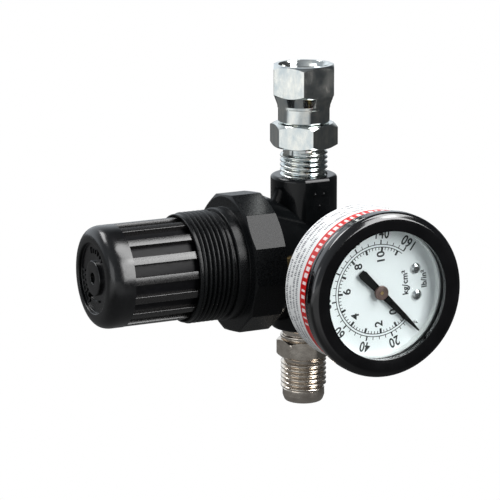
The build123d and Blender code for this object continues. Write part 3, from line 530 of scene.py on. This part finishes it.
coil_spring = coil_tree()
for node, joint, wire, pitch in (("main_spring", "spring_nut_slide", 0.9, 2.9),
                                 ("valve_spring", "valve_travel", 0.3, 1.15)):
    low, high = span(node, along_knob)
    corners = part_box(node)
    wide = (corners[1].y - corners[0].y) / 2 / millimetre
    spring = bpy.data.objects.new(node + "_blank", bpy.data.meshes.new(node))
    scene.collection.objects.link(spring)
    grow(spring, coil_spring, radius=wide - wire, wire=wire, low=low + wire,
         length=high - low - 2 * wire, pitch=pitch, finish=spring_steel)
    spring = settle(spring, node + "_coil", along_knob, "root", node)
    reach = max(hinge[joint]["range_m"]) / millimetre
    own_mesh(spring)

# ---- Bonnet ----
# Moulded in black acetal: a 12-sided collar for the wrench, a round flange, the panel thread with
# its rounded lip, and inside that the neck that the knob slides on.

bonnet_low, bonnet_high = span("bonnet", along_knob)
collar_front, flange_front, bonnet_mouth = 24.8, 28.2, 39.9
panel_crest, panel_root = 15.875, 15.0
satin_black = finish("satin_black", ((0.002, 0.0022, 0.0025), (0.006, 0.0065, 0.007)),
                     (0.24, 0.34), mottle_size=0.5, grain_size=0.2, depth=0.006, specular=0.19)
bonnet = turned("bonnet", [
    (16.85, bonnet_low, 0.1), (19.3, bonnet_low, 0.1), (20.33, bonnet_low + 0.5),
    (20.33, collar_front - 0.5), (19.2, collar_front, 0.12), (16.2, collar_front + 0.02, 0.15),
    (16.2, flange_front, 0.35), (panel_root, flange_front + 0.15, 0.2), (panel_root, 38.6),
    (15.55, 38.8, 0.2), (15.5, bonnet_mouth, 0.55), (14.95, bonnet_mouth, 0.25), (14.95, 38.8),
    (9.0, 38.8), (9.0, bonnet_high, 0.4), (5.06, bonnet_high, 0.2), (5.06, 36.4), (13.2, 36.4),
    (13.2, 20.6), (16.85, 20.6),
], flats(12, 39.27, -7.6, corner=0.25, steps=8))
grow(bonnet, screw_thread, root=panel_root, depth=panel_crest - panel_root, pitch=pipe_pitch,
     low=29.3, length=9.6, crest=0.3, round=0.14, finish=satin_black)
settle(bonnet, "bonnet_moulded", along_knob, "root", "bonnet")

# ---- Knob ----
# Moulded in black acetal, with sixteen flat-topped grip ribs below a smooth band and a broad
# rounded shoulder. Its sunk end carries raised turning marks and an arrow.


def set_round(tree, item, count, centre, angle, low, **scale):
    """Copies of an item round a circle, each turned to face outwards."""
    spots = add_node(tree, "GeometryNodeMeshLine", {"Count": count, "Offset": (0, 0, 0)})
    where = combined(tree, times(tree, maths(tree, "COSINE", angle), centre),
                     times(tree, maths(tree, "SINE", angle), centre), low)
    placed = add_node(tree, "GeometryNodeSetPosition", {
        "Geometry": spots.outputs[0], "Position": where})
    return add_node(tree, "GeometryNodeInstanceOnPoints", {
        "Points": placed.outputs[0], "Instance": item.outputs[0],
        "Rotation": combined(tree, z=angle), **scale}).outputs[0]


def ribs_tree():
    """Straight ribs with rounded edges, spaced evenly round a barrel."""
    tree, given, out = new_tree("Grip ribs", {
        "Count": 16, "Radius": 14.6, "Width": 2.2, "Height": 1.5, "Low": 39.2, "Length": 20.0,
        "Round": 0.12, "Turn": 5.0, "Finish": None})
    section = add_node(tree, "GeometryNodeCurvePrimitiveQuadrilateral", {
        "Width": given["Height"], "Height": given["Width"]}, mode="RECTANGLE")
    soft = add_node(tree, "GeometryNodeFilletCurve", {
        "Curve": section.outputs[0], "Count": 4, "Radius": given["Round"]}, mode="POLY")
    rail = add_node(tree, "GeometryNodeCurvePrimitiveLine", {
        "Start": (0, 0, 0), "End": combined(tree, z=given["Length"])})
    rib = add_node(tree, "GeometryNodeCurveToMesh", {
        "Curve": rail.outputs[0], "Profile Curve": soft.outputs[0], "Fill Caps": True})
    centre = maths(tree, "SUBTRACT", given["Radius"], maths(tree, "DIVIDE", given["Height"], 2.0))
    step = maths(tree, "DIVIDE", 2 * pi, given["Count"])
    number = add_node(tree, "GeometryNodeInputIndex").outputs[0]
    angle = maths(tree, "ADD", times(tree, number, step), maths(tree, "RADIANS", given["Turn"]))
    ribs = set_round(tree, rib, given["Count"], centre, angle, given["Low"])
    coated = add_node(tree, "GeometryNodeSetMaterial", {
        "Geometry": ribs, "Material": given["Finish"]})
    close_tree(tree, given["Blank"], coated.outputs[0], None, out)
    return tree


grip_ribs = ribs_tree()
knob_low, knob_end = span("knob", along_knob)
knob_radius, groove_radius, knob_shoulder = 14.6, 13.3, 4.6
band_start, end_recess = 59.0, 1.1
polished_black = finish("polished_black", ((0.0015, 0.0015, 0.0018), (0.003, 0.003, 0.0035)),
                        (0.18, 0.26), mottle_size=1.2, grain=(6, 1, 1), depth=0.0025)
# The groove floors take a darker, duller copy: painted shade in the recesses, over a rougher mould
# grain.
# The ribs take a lighter, glossier copy of the knob's black: painted highlight over their grain.
rib_black = finish("rib_black", ((0.006, 0.006, 0.006), (0.012, 0.011, 0.011)), (0.22, 0.30),
                   mottle_size=0.4, grain=(0.3, 1, 1), grain_size=0.2, depth=0.0015, specular=0.6)
groove_black = finish("groove_black", ((0.002, 0.002, 0.0024), (0.004, 0.004, 0.005)),
                      (0.35, 0.45), mottle_size=0.8, grain=(0.3, 1, 1), depth=0.004,
                      specular=0.12)
knob = turned("knob", [
    (0, knob_end - end_recess), (10.05, knob_end - end_recess, 0.2), (10.05, knob_end, 0.35),
    (knob_radius, knob_end, knob_shoulder, 0.9), (knob_radius, band_start, 0.1),
    (groove_radius, band_start - 0.05, 0.2), (groove_radius, knob_low, 0.2),
    (11.4, knob_low, 0.2), (11.4, 60.3), (7.2, 60.3), (7.2, 51.8), (4.7, 51.8), (4.7, 60.1),
    (0, 60.1),
])
knob.data.materials.append(polished_black)
knob.data.materials.append(groove_black)
# The groove floors between the ribs get the darker copy: painted shade.
for face in knob.data.polygons:
    face.material_index = int(hypot(*face.center.xy) < groove_radius + 0.1
                              and face.center.z < band_start and face.normal.z > -0.5)
grow(knob, grip_ribs, count=16, radius=knob_radius, width=2.2, height=1.6, low=knob_low + 0.1,
     length=band_start - knob_low, turn=5.0, finish=rib_black)
settle(knob, "knob_moulded", along_knob, "knob", "knob")


def marks_tree():
    """Short raised bars round an arc, every so many of them longer than the rest."""
    tree, given, out = new_tree("Marks on an arc", {
        "Count": 12, "Radius": 8.0, "Start": 0.0, "Step": -8.2, "Long every": 4, "Long": 1.2,
        "Short": 0.8, "Thick": 0.3, "Thin": 0.15, "High": 0.04, "Low": 0.0, "Finish": None})
    bar = add_node(tree, "GeometryNodeMeshCube", {"Size": (1, 1, 1)})
    end_on = add_node(tree, "GeometryNodeTransform", {
        "Geometry": bar.outputs[0], "Translation": (0.5, 0, 0.5)})
    number = add_node(tree, "GeometryNodeInputIndex").outputs[0]
    angle = maths(tree, "RADIANS", maths(
        tree, "ADD", given["Start"], times(tree, number, given["Step"])))
    rest = maths(tree, "MODULO", number, given["Long every"])
    major = maths(tree, "LESS_THAN", rest, 0.5)
    reach = add_node(tree, "ShaderNodeMapRange", {
        "Value": major, "To Min": given["Short"], "To Max": given["Long"]}, clamp=False)
    width = fade(tree, major, 0.0, 1.0, given["Thin"], given["Thick"])
    marks = set_round(tree, end_on, given["Count"], given["Radius"], angle, given["Low"],
                      Scale=combined(tree, reach.outputs[0], width, given["High"]))
    close_tree(tree, given["Blank"], marks, given["Finish"], out)
    return tree


def plate(name, loops, low, high, edge=0.0):
    """A flat plate with the given outline, between two heights, its top edge eased."""
    shape = bmesh.new()
    foot = [shape.verts.new((x, y, low)) for x, y in loops]
    shape.faces.new(foot)
    raised = bmesh.ops.extrude_face_region(shape, geom=shape.faces[:])["geom"]
    top = [item for item in raised if isinstance(item, bmesh.types.BMVert)]
    bmesh.ops.translate(shape, verts=top, vec=(0, 0, high - low))
    if edge:
        rim = [item for item in shape.edges if all(abs(v.co.z - high) < 1e-6 for v in item.verts)]
        bmesh.ops.bevel(shape, geom=rim, offset=edge, segments=2, affect="EDGES",
                        clamp_overlap=True)
    return made(name, shape)


def arc_band(inner, outer, start, end, steps=48):
    """The outline of a flat strip that follows an arc, in degrees."""
    angles = [radians(start + (end - start) * step / steps) for step in range(steps + 1)]
    return ([(outer * cos(a), outer * sin(a)) for a in angles]
            + [(inner * cos(a), inner * sin(a)) for a in reversed(angles)])


def arrow_on_arc(inner, outer, start, end, flare):
    """A strip on an arc that ends in an arrowhead."""
    strip = arc_band(inner, outer, start, end, 20)
    middle = (inner + outer) / 2
    tip_angle = radians(end + 16)
    far = radians(end)
    head = [((outer + flare) * cos(far), (outer + flare) * sin(far)),
            (middle * cos(tip_angle), middle * sin(tip_angle)),
            ((inner - flare) * cos(far), (inner - flare) * sin(far))]
    return strip[:21] + head + strip[21:]


arc_marks = marks_tree()
mark_low = knob_end - end_recess - 0.05
mark_high = mark_low + 0.40
knob_arrow = plate("knob_arrow", arrow_on_arc(6.5, 7.1, -155, -215, 0.6)[::-1], mark_low, mark_high,
                   0.06)
raised_marks = {"radius": 7.0, "thin": 0.4, "high": mark_high - mark_low, "low": mark_low,
                "finish": polished_black}
grow(knob_arrow, arc_marks, count=7, start=150.0, step=-11.0, long_every=2, long=1.9, short=1.2,
     thick=0.55, **raised_marks)
grow(knob_arrow, arc_marks, count=6, start=20.0, step=-12.0, long_every=3, long=1.8, short=1.3,
     thick=0.5, **raised_marks)
settle(knob_arrow, "knob_end_marks", along_knob, "knob", None)

# ---- Knob insert ----
# A round disc pressed into the knob's end, with an eased edge and a hole for a locking key.

insert_low, insert_high = span("knob_insert", along_knob)
insert = turned("knob_insert", [
    (1.6, insert_low), (5.0, insert_low), (5.0, insert_high, 0.35), (1.6, insert_high, 0.2),
])
settle(insert, "knob_insert_disc", along_knob, "knob", "knob_insert", polished_black)

# ---- Gauge socket and case ----
# A brass socket with wrench flats carries the gauge and leads air to its tube. The case is a
# pressed steel cup in gloss black enamel.

black_enamel = finish("black_enamel", ((0.0012, 0.0012, 0.0015), (0.0025, 0.0025, 0.003)),
                      (0.10, 0.16), mottle_size=8.0, grain_size=0.9, depth=0.002, coat=0.5,
                      coat_gloss=0.04)
dress("gauge_socket", turned_brass)
dress("gauge_case", black_enamel)

# ---- Gauge movement ----
# The curved pressure tube pulls a link and a sector, and the sector turns the pointer's pinion. All
# of it is brass, between two plates on three pillars.

for node in ("bourdon_tube", "link", "sector_gear", "pinion_arbor", "movement_rear_plate",
             "movement_front_plate", "movement_pillars"):
    dress(node, turned_brass)

# ---- Label band ----
# A printed film wrapped round the case: white, with four rows of plain grey bars in place of small
# print, and a red stripe with white bars along the bezel's edge.

band_low, band_high = span("label_band", along_gauge)
band_radius = 22.25


def printed_film():
    """White film with rows of bars: the V of its map runs across the band and the U round it."""
    material = bpy.data.materials.new("label_film")
    material.use_nodes = True
    tree = material.node_tree
    shader = tree.nodes["Principled BSDF"]
    chart = add_node(tree, "ShaderNodeUVMap", uv_map="round_the_case").outputs[0]
    split = add_node(tree, "ShaderNodeSeparateXYZ", {"Vector": chart})
    round_way, across = split.outputs[0], split.outputs[1]

    def bars(rows, words, letters, gap, seed, space):
        """Rows of words made of thin upright strokes, as 1 where there is ink."""
        row = times(tree, across, rows)
        line = maths(tree, "FLOOR", row)
        inside = maths(tree, "FRACT", row)
        tall = times(tree, maths(tree, "GREATER_THAN", inside, gap),
                     maths(tree, "LESS_THAN", inside, 1 - gap))
        shift = times(tree, line, 0.37)
        word = times(tree, maths(tree, "ADD", round_way, shift), words)
        spaced = add_node(tree, "ShaderNodeTexWhiteNoise", {
            "Vector": combined(tree, maths(tree, "FLOOR", word), line, seed)})
        present = maths(tree, "GREATER_THAN", spaced.outputs[0], 0.16)
        letter = times(tree, maths(tree, "ADD", round_way, shift), letters)
        varied = add_node(tree, "ShaderNodeTexWhiteNoise", {
            "Vector": combined(tree, maths(tree, "FLOOR", letter), line, seed + 4.0)})
        stroke = maths(tree, "GREATER_THAN", maths(tree, "FRACT", letter), maths(
            tree, "ADD", space, times(tree, varied.outputs[0], 0.4)))
        short = maths(tree, "GREATER_THAN", inside, times(tree, varied.outputs[0], 0.45))
        return times(tree, times(tree, tall, present), times(tree, stroke, short))

    stripe_start = 0.70
    stripe = maths(tree, "GREATER_THAN", across, stripe_start)
    small = bars(6.6, 62.0, 260.0, 0.22, 1.0, 0.22)
    plain = maths(tree, "SUBTRACT", 1.0, stripe)
    grey = times(tree, times(tree, small, plain), maths(tree, "LESS_THAN", across, 0.63))
    large_row = times(tree, maths(tree, "GREATER_THAN", across, 0.77),
                      maths(tree, "LESS_THAN", across, 0.92))
    large = times(tree, large_row, bars(1.0, 17.0, 72.0, 0.0, 9.0, 0.30))
    white = add_node(tree, "ShaderNodeMix", {
        "Factor": times(tree, grey, 0.9), "A": (0.80, 0.80, 0.79, 1),
        "B": (0.10, 0.10, 0.12, 1)}, data_type="RGBA")
    red = add_node(tree, "ShaderNodeMix", {
        "Factor": times(tree, large, 0.9), "A": (0.56, 0.010, 0.009, 1),
        "B": (0.86, 0.78, 0.77, 1)}, data_type="RGBA")
    all_over = add_node(tree, "ShaderNodeMix", {
        "Factor": stripe, "A": white.outputs["Result"], "B": red.outputs["Result"]},
        data_type="RGBA")
    tree.links.new(all_over.outputs["Result"], shader.inputs["Base Color"])
    shader.inputs["Roughness"].default_value = 0.34
    shader.inputs["Specular IOR Level"].default_value = 0.3
    return material


band = turned("label_band", [
    (band_radius - 0.15, band_low), (band_radius, band_low), (band_radius, band_high),
    (band_radius - 0.15, band_high),
], steps=180)
chart = band.data.uv_layers.new(name="round_the_case")
for face in band.data.polygons:
    middle = atan2(face.center.y, face.center.x)
    for corner in face.loop_indices:
        spot = band.data.vertices[band.data.loops[corner].vertex_index].co
        around = atan2(spot.y, spot.x)
        if around - middle > pi:
            around -= 2 * pi
        elif middle - around > pi:
            around += 2 * pi
        chart.data[corner].uv = (around / (2 * pi) + 0.5,
                                 (spot.z - band_low) / (band_high - band_low))
settle(band, "label_band_film", along_gauge, "root", "label_band", printed_film())

# ---- Bezel ----
# A steel ring rolled over the case's edge, in the same enamel: a narrow rear bead, a hollow behind
# the full round front, and a flat that slopes in to the window.

bezel_low, bezel_high = span("bezel", along_gauge)
bezel = turned("bezel", [
    (22.12, bezel_low), (22.75, bezel_low, 0.25), (22.75, bezel_low + 1.0, 0.3),
    (22.55, bezel_low + 1.5, 0.4), (23.2, bezel_low + 2.3, 0.7), (23.2, bezel_high - 0.9, 2.2),
    (21.6, bezel_high, 1.6), (20.6, bezel_high, 1.0), (18.0, bezel_high - 0.12, 0.12),
    (18.0, bezel_high - 1.5), (21.2, bezel_high - 1.5), (21.2, 47.05), (22.12, 47.05),
], steps=192)
settle(bezel, "bezel_rolled", along_gauge, "root", "bezel", black_enamel)

# ---- Window, its gasket and the spacer ----
# A plain glass disc, clamped by the bezel on a thin rubber ring, with a white ring between the
# rubber and the dial.


def clear_glass():
    """Thin clear glass: light goes straight through, apart from what its angle makes it mirror."""
    material = bpy.data.materials.new("clear_glass")
    material.use_nodes = True
    tree = material.node_tree
    tree.nodes.remove(tree.nodes["Principled BSDF"])
    through = add_node(tree, "ShaderNodeBsdfTransparent", {"Color": (0.965, 0.985, 0.985, 1)})
    mirror = add_node(tree, "ShaderNodeBsdfGlossy", {"Roughness": 0.03})
    slant = add_node(tree, "ShaderNodeLayerWeight", {"Blend": 0.5}).outputs["Facing"]
    share = fade(tree, maths(tree, "POWER", slant, 5.0), 0.0, 1.0, 0.03, 0.9)
    mix = add_node(tree, "ShaderNodeMixShader", {
        0: share, 1: through.outputs[0], 2: mirror.outputs[0]})
    tree.links.new(mix.outputs[0], tree.nodes["Material Output"].inputs["Surface"])
    return material


dress("lens", clear_glass())
dress("lens_gasket", nitrile)
dress("dial_spacer", acetal)

# ---- Dial ----
# A stamped disc in white enamel with two scales printed in black: pounds outside a double arc and
# kilograms inside it. The numerals stand on the arcs with their heads outward.

white_enamel = finish("white_enamel", ((0.80, 0.81, 0.81), (0.84, 0.85, 0.85)), (0.30, 0.38),
                      mottle_size=10.0, grain_size=0.8, depth=0.003)
dress("dial", white_enamel)
dial_face = span("dial", along_gauge)[1]
ink = finish("black_ink", ((0.012, 0.012, 0.013), (0.02, 0.02, 0.021)), (0.4, 0.5), grain_size=0.2,
             depth=0.002)
ink_high = 0.035
type_size = 1.42     # of the font, for numerals that stand 1 high
print_centre = Matrix.Translation(Vector((-0.40, 0.35, 0.0)) * millimetre)
zero_angle = -45.0
first_pounds, pounds_step = -70.5, -33.86 / 20     # the scale starts evenly at 20 pounds
first_kilos, kilos_step = -61.1, -23.87            # and at 1 kilogram
outer_arc, inner_arc, arc_line = 13.0, 12.25, 0.22
scale_end = first_pounds + 140 * pounds_step


def lettered(text, height, angle, radius, spread=0.0, narrow=0.8, head=None):
    """A printed word or number with its middle on an arc, as a flat mesh. Its head points outward
    unless an angle for it is given."""
    words = bpy.data.curves.new("print_" + str(len(bpy.data.curves)), "FONT")
    words.body = text
    words.size = height * type_size
    words.align_x, words.align_y = "CENTER", "CENTER"
    words.extrude = ink_high / 2
    words.offset = spread
    words.space_character = 1.05
    holder = bpy.data.objects.new(words.name, words)
    scene.collection.objects.link(holder)
    bpy.context.view_layer.update()
    mesh = bpy.data.meshes.new_from_object(
        holder.evaluated_get(bpy.context.evaluated_depsgraph_get()))
    bpy.data.objects.remove(holder)
    way = radians(angle)
    place = Matrix.Translation((radius * cos(way), radius * sin(way), dial_face + ink_high / 2))
    turn = Matrix.Rotation((way if head is None else radians(head)) - pi / 2, 4, "Z")
    mesh.transform(place @ turn @ Matrix.Diagonal((narrow, 1, 1, 1)))
    return mesh


printed, second = (
    plate("scale_print", arc_band(arc - arc_line / 2, arc + arc_line / 2, scale_end, zero_angle,
                                  120), dial_face, dial_face + ink_high)
    for arc in (outer_arc, inner_arc))
sheets = [second.data]
top_of_dial = 183.75
for pounds in range(20, 180, 20):
    angle = first_pounds + (pounds - 20) * pounds_step
    head = angle + 180 if pounds == 160 else None     # the last number is printed the other way up
    sheets.append(lettered(str(pounds), 2.8, angle, 15.9, 0.075, 0.78, head))
for kilos, angle, reach in ((0, -52.5, 8.2), (2, -87, 9.5), (4, -136.5, 9.5), (6, 176, 9.5),
                            (8, 129, 9.5), (10, 84, 9.4)):
    sheets.append(lettered(str(kilos), 2.3, angle, reach, 0.08, 1.05, top_of_dial))
for text, height, x, y in (("kg/cm²", 1.75, 8.6, 1.4), ("lb/in²", 1.65, 14.5, 1.9)):
    unit = lettered(text, height, top_of_dial, 0.0, 0.07, 1.0)
    unit.transform(Matrix.Translation((x, y, 0.0)))
    sheets.append(unit)
joined = bmesh.new()
joined.from_mesh(printed.data)
for mesh in sheets:
    joined.from_mesh(mesh)
joined.to_mesh(printed.data)
joined.free()
bpy.data.objects.remove(second)
flat_print = {"thin": 0.21, "high": ink_high, "low": dial_face, "finish": ink}
pounds_marks = {"radius": outer_arc, "long_every": 4, "long": 1.3, "short": 0.9, "thick": 0.42}
kilos_marks = {"radius": inner_arc, "step": kilos_step / 5, "long": -1.4, "short": -0.8,
               "thick": 0.62}
grow(printed, arc_marks, count=29, start=first_pounds, step=5 * pounds_step, **pounds_marks,
     **flat_print)
grow(printed, arc_marks, count=4, start=zero_angle, step=(first_pounds - zero_angle) / 4,
     **pounds_marks, **flat_print)
grow(printed, arc_marks, count=51, start=first_kilos, long_every=5, **kilos_marks, **flat_print)
grow(printed, arc_marks, count=3, start=first_kilos - 3 * kilos_step / 5, long_every=3,
     **kilos_marks, **flat_print)
settle(printed, "dial_print", along_gauge @ print_centre, "root", None)

# ---- Dial screws and stop pin ----
# Two small dome-headed screws hold the dial to the movement, and a plain pin stops the pointer at
# nought. All three are bright plated steel.

bright_plate = finish("bright_plate", ((0.62, 0.62, 0.62), (0.82, 0.82, 0.82)), (0.12, 0.22), 1.0,
                      mottle_size=0.8, grain_size=0.2, depth=0.004)


def screws_tree():
    """The blank, repeated at two places on the dial."""
    tree, given, out = new_tree("Dial screws", {
        "First x": 11.3, "First y": 5.5, "Apart x": 0.5, "Apart y": -7.6, "Finish": None})
    row = add_node(tree, "GeometryNodeMeshLine", {
        "Count": 2, "Start Location": combined(tree, given["First x"], given["First y"]),
        "Offset": combined(tree, given["Apart x"], given["Apart y"])})
    both = add_node(tree, "GeometryNodeInstanceOnPoints", {
        "Points": row.outputs[0], "Instance": given["Blank"]})
    close_tree(tree, None, both.outputs[0], given["Finish"], out)
    return tree


screw_low = span("dial_screws", along_gauge)[0]
screw = turned("dial_screw", [
    (0, screw_low), (0.7, screw_low), (0.7, dial_face), (1.55, dial_face + 0.02, 0.1),
    (1.5, dial_face + 0.40, 0.3), (0.8, dial_face + 0.76, 0.5), (0, dial_face + 0.80),
], steps=32)
grow(screw, screws_tree(), finish=bright_plate)
settle(screw, "dial_screws_domed", along_gauge, "root", "dial_screws", edge=50.0)
pin_low, pin_high = span("stop_pin", along_gauge)
pin_corners = [along_gauge.inverted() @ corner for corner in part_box("stop_pin")]
pin_centre = (pin_corners[0] + pin_corners[1]) / 2
pin_radius = abs(pin_corners[1].x - pin_corners[0].x) / 2 / millimetre
pin = turned("stop_pin", [
    (0, pin_low), (pin_radius, pin_low), (pin_radius, pin_high, 0.9 * pin_radius, 0.9),
    (0, pin_high),
], steps=32)
pin_place = along_gauge @ Matrix.Translation((pin_centre.x, pin_centre.y, 0))
settle(pin, "stop_pin_domed", pin_place, "root", "stop_pin", bright_plate, 50.0)

# ---- Pointer and its hub ----
# Stamped in thin black-enamelled brass, with a blunt wide tail that balances a long tapered blade.
# It is pressed on its spindle under a small brown disc with turned rings.

needle_low, needle_high = span("pointer", along_gauge)
tail_end, tail_wide, tail_half, tip = 8.7, 7.6, 1.28, 17.2
blade = [(-tail_end, -0.95), (-tail_end, 0.95), (-tail_wide, tail_half), (-2.0, 1.0), (2.0, 1.0),
         (tip - 6.0, 0.68), (tip, 0.20), (tip, -0.20), (tip - 6.0, -0.68), (2.0, -1.0),
         (-2.0, -1.0), (-tail_wide, -tail_half)]
swung = Matrix.Rotation(radians(zero_angle), 2)
needle = plate("pointer", [tuple(swung @ Vector(point)) for point in blade][::-1], needle_low,
               needle_high, 0.05)
satin_ink = finish("satin_ink", ((0.003, 0.003, 0.003), (0.005, 0.005, 0.005)), (0.24, 0.32),
                   grain_size=0.2, depth=0.003, specular=0.2)
settle(needle, "pointer_blade", along_gauge, "pointer", "pointer", satin_ink, 25.0)

hub_low, hub_high = span("pointer_hub", along_gauge)
brown_disc = finish("brown_disc", ((0.13, 0.085, 0.075), (0.19, 0.125, 0.11)), (0.30, 0.42), 0.6,
                    mottle_size=0.8, grain_size=0.12, depth=0.004)
hub = turned("pointer_hub", [
    (0.5, hub_low), (2.0, hub_low, 0.1), (2.0, hub_high, 0.15), (1.55, hub_high, 0.05),
    (1.48, hub_high - 0.10, 0.04), (1.38, hub_high, 0.05), (0.85, hub_high, 0.05),
    (0.80, hub_high - 0.08, 0.04), (0.72, hub_high, 0.04), (0.5, hub_high),
], steps=64)
settle(hub, "pointer_hub_disc", along_gauge, "pointer", "pointer_hub", brown_disc)

# ---- Floor and light ----
# A wide pale floor under the nipple's tip in a pale surround, and four soft lamps: two tall ones in
# front to the right, one overhead behind, and one to the knob's side. Gloss mirrors a dimmer room.


def room_light(tree, kind, colour, strength, end):
    """White to the eye, and of the given strength to whatever mirrors it."""
    bright = add_node(tree, kind, {"Color": (1, 1, 1, 1), "Strength": 1.0})
    dim = add_node(tree, kind, {"Color": colour, "Strength": strength})
    direct = add_node(tree, "ShaderNodeLightPath").outputs["Is Camera Ray"]
    mix = add_node(tree, "ShaderNodeMixShader", {
        0: direct, 1: dim.outputs[0], 2: bright.outputs[0]})
    tree.links.new(mix.outputs[0], tree.nodes[end].inputs["Surface"])


floor_mesh = bpy.data.meshes.new("floor")
floor_reach, floor_height = 4.0, cad_box[0][2] - 0.0005
floor_mesh.from_pydata([(x * floor_reach, y * floor_reach, floor_height)
                        for x, y in ((-1, -1), (1, -1), (1, 1), (-1, 1))], [], [(0, 1, 2, 3)])
floor = bpy.data.objects.new("floor", floor_mesh)
scene.collection.objects.link(floor)
pale = bpy.data.materials.new("pale_floor")
pale.use_nodes = True
pale_tree = pale.node_tree
pale_tree.nodes.remove(pale_tree.nodes["Principled BSDF"])
floor_place = add_node(pale_tree, "ShaderNodeTexCoord").outputs["Object"]
floor_x, floor_y, _ = add_node(pale_tree, "ShaderNodeSeparateXYZ", {"Vector": floor_place}).outputs
floor_left = times(pale_tree, fade(pale_tree, floor_x, -0.24, -0.13),
                   fade(pale_tree, floor_y, 0.03, 0.14))
floor_front = times(pale_tree, fade(pale_tree, floor_x, -0.03, 0.03),
                    fade(pale_tree, floor_y, -0.12, -0.05))
floor_base = maths(pale_tree, "ADD", 0.05,
                   times(pale_tree, fade(pale_tree, floor_x, -0.02, 0.03), 0.13))
floor_level = maths(pale_tree, "MAXIMUM", floor_base, maths(
    pale_tree, "MAXIMUM", floor_left, times(pale_tree, floor_front, 0.6)))
room_light(pale_tree, "ShaderNodeEmission", (0.97, 0.99, 1, 1), floor_level, "Material Output")
floor_mesh.materials.append(pale)

surround = bpy.data.worlds.new("surround")
surround.use_nodes = True
sky = surround.node_tree
toward = add_node(sky, "ShaderNodeTexCoord").outputs["Generated"]
sky_x, sky_y, _ = add_node(sky, "ShaderNodeSeparateXYZ", {"Vector": toward}).outputs
sky_level = maths(sky, "ADD", fade(sky, sky_x, -0.7, 0.5, 0.50, 0.06),
                  fade(sky, sky_y, 0.62, 0.86, 0.0, 0.85))
room_light(sky, "ShaderNodeBackground", (0.88, 0.94, 1.0, 1), sky_level, "World Output")
scene.world = surround


def soft_lamp(name, direction, distance, width, height, power, colour=(1, 1, 1)):
    """A rectangular lamp that shines on the object from a direction."""
    lamp = bpy.data.lights.new(name, "AREA")
    lamp.shape = "RECTANGLE"
    lamp.size, lamp.size_y = width, height
    lamp.energy = power
    lamp.color = colour
    holder = bpy.data.objects.new(name, lamp)
    toward = Vector(direction).normalized()
    holder.matrix_world = Matrix.Translation(aim + toward * distance) @ toward.to_track_quat(
        "Z", "Y").to_matrix().to_4x4()
    scene.collection.objects.link(holder)


soft_lamp("front_lamp", (0.42, -0.82, 0.36), 1.2, 0.55, 0.90, 14.0)
soft_lamp("upper_lamp", (0.42, -0.40, 0.82), 1.2, 0.60, 0.95, 17.0)
soft_lamp("top_lamp", (-0.40, 0.47, 0.79), 1.0, 0.6, 0.3, 5.0)
soft_lamp("side_lamp", (-0.95, -0.28, -0.02), 1.0, 0.75, 0.9, 3.6, (0.97, 0.99, 1.0))
scene.view_settings.view_transform = "Standard"
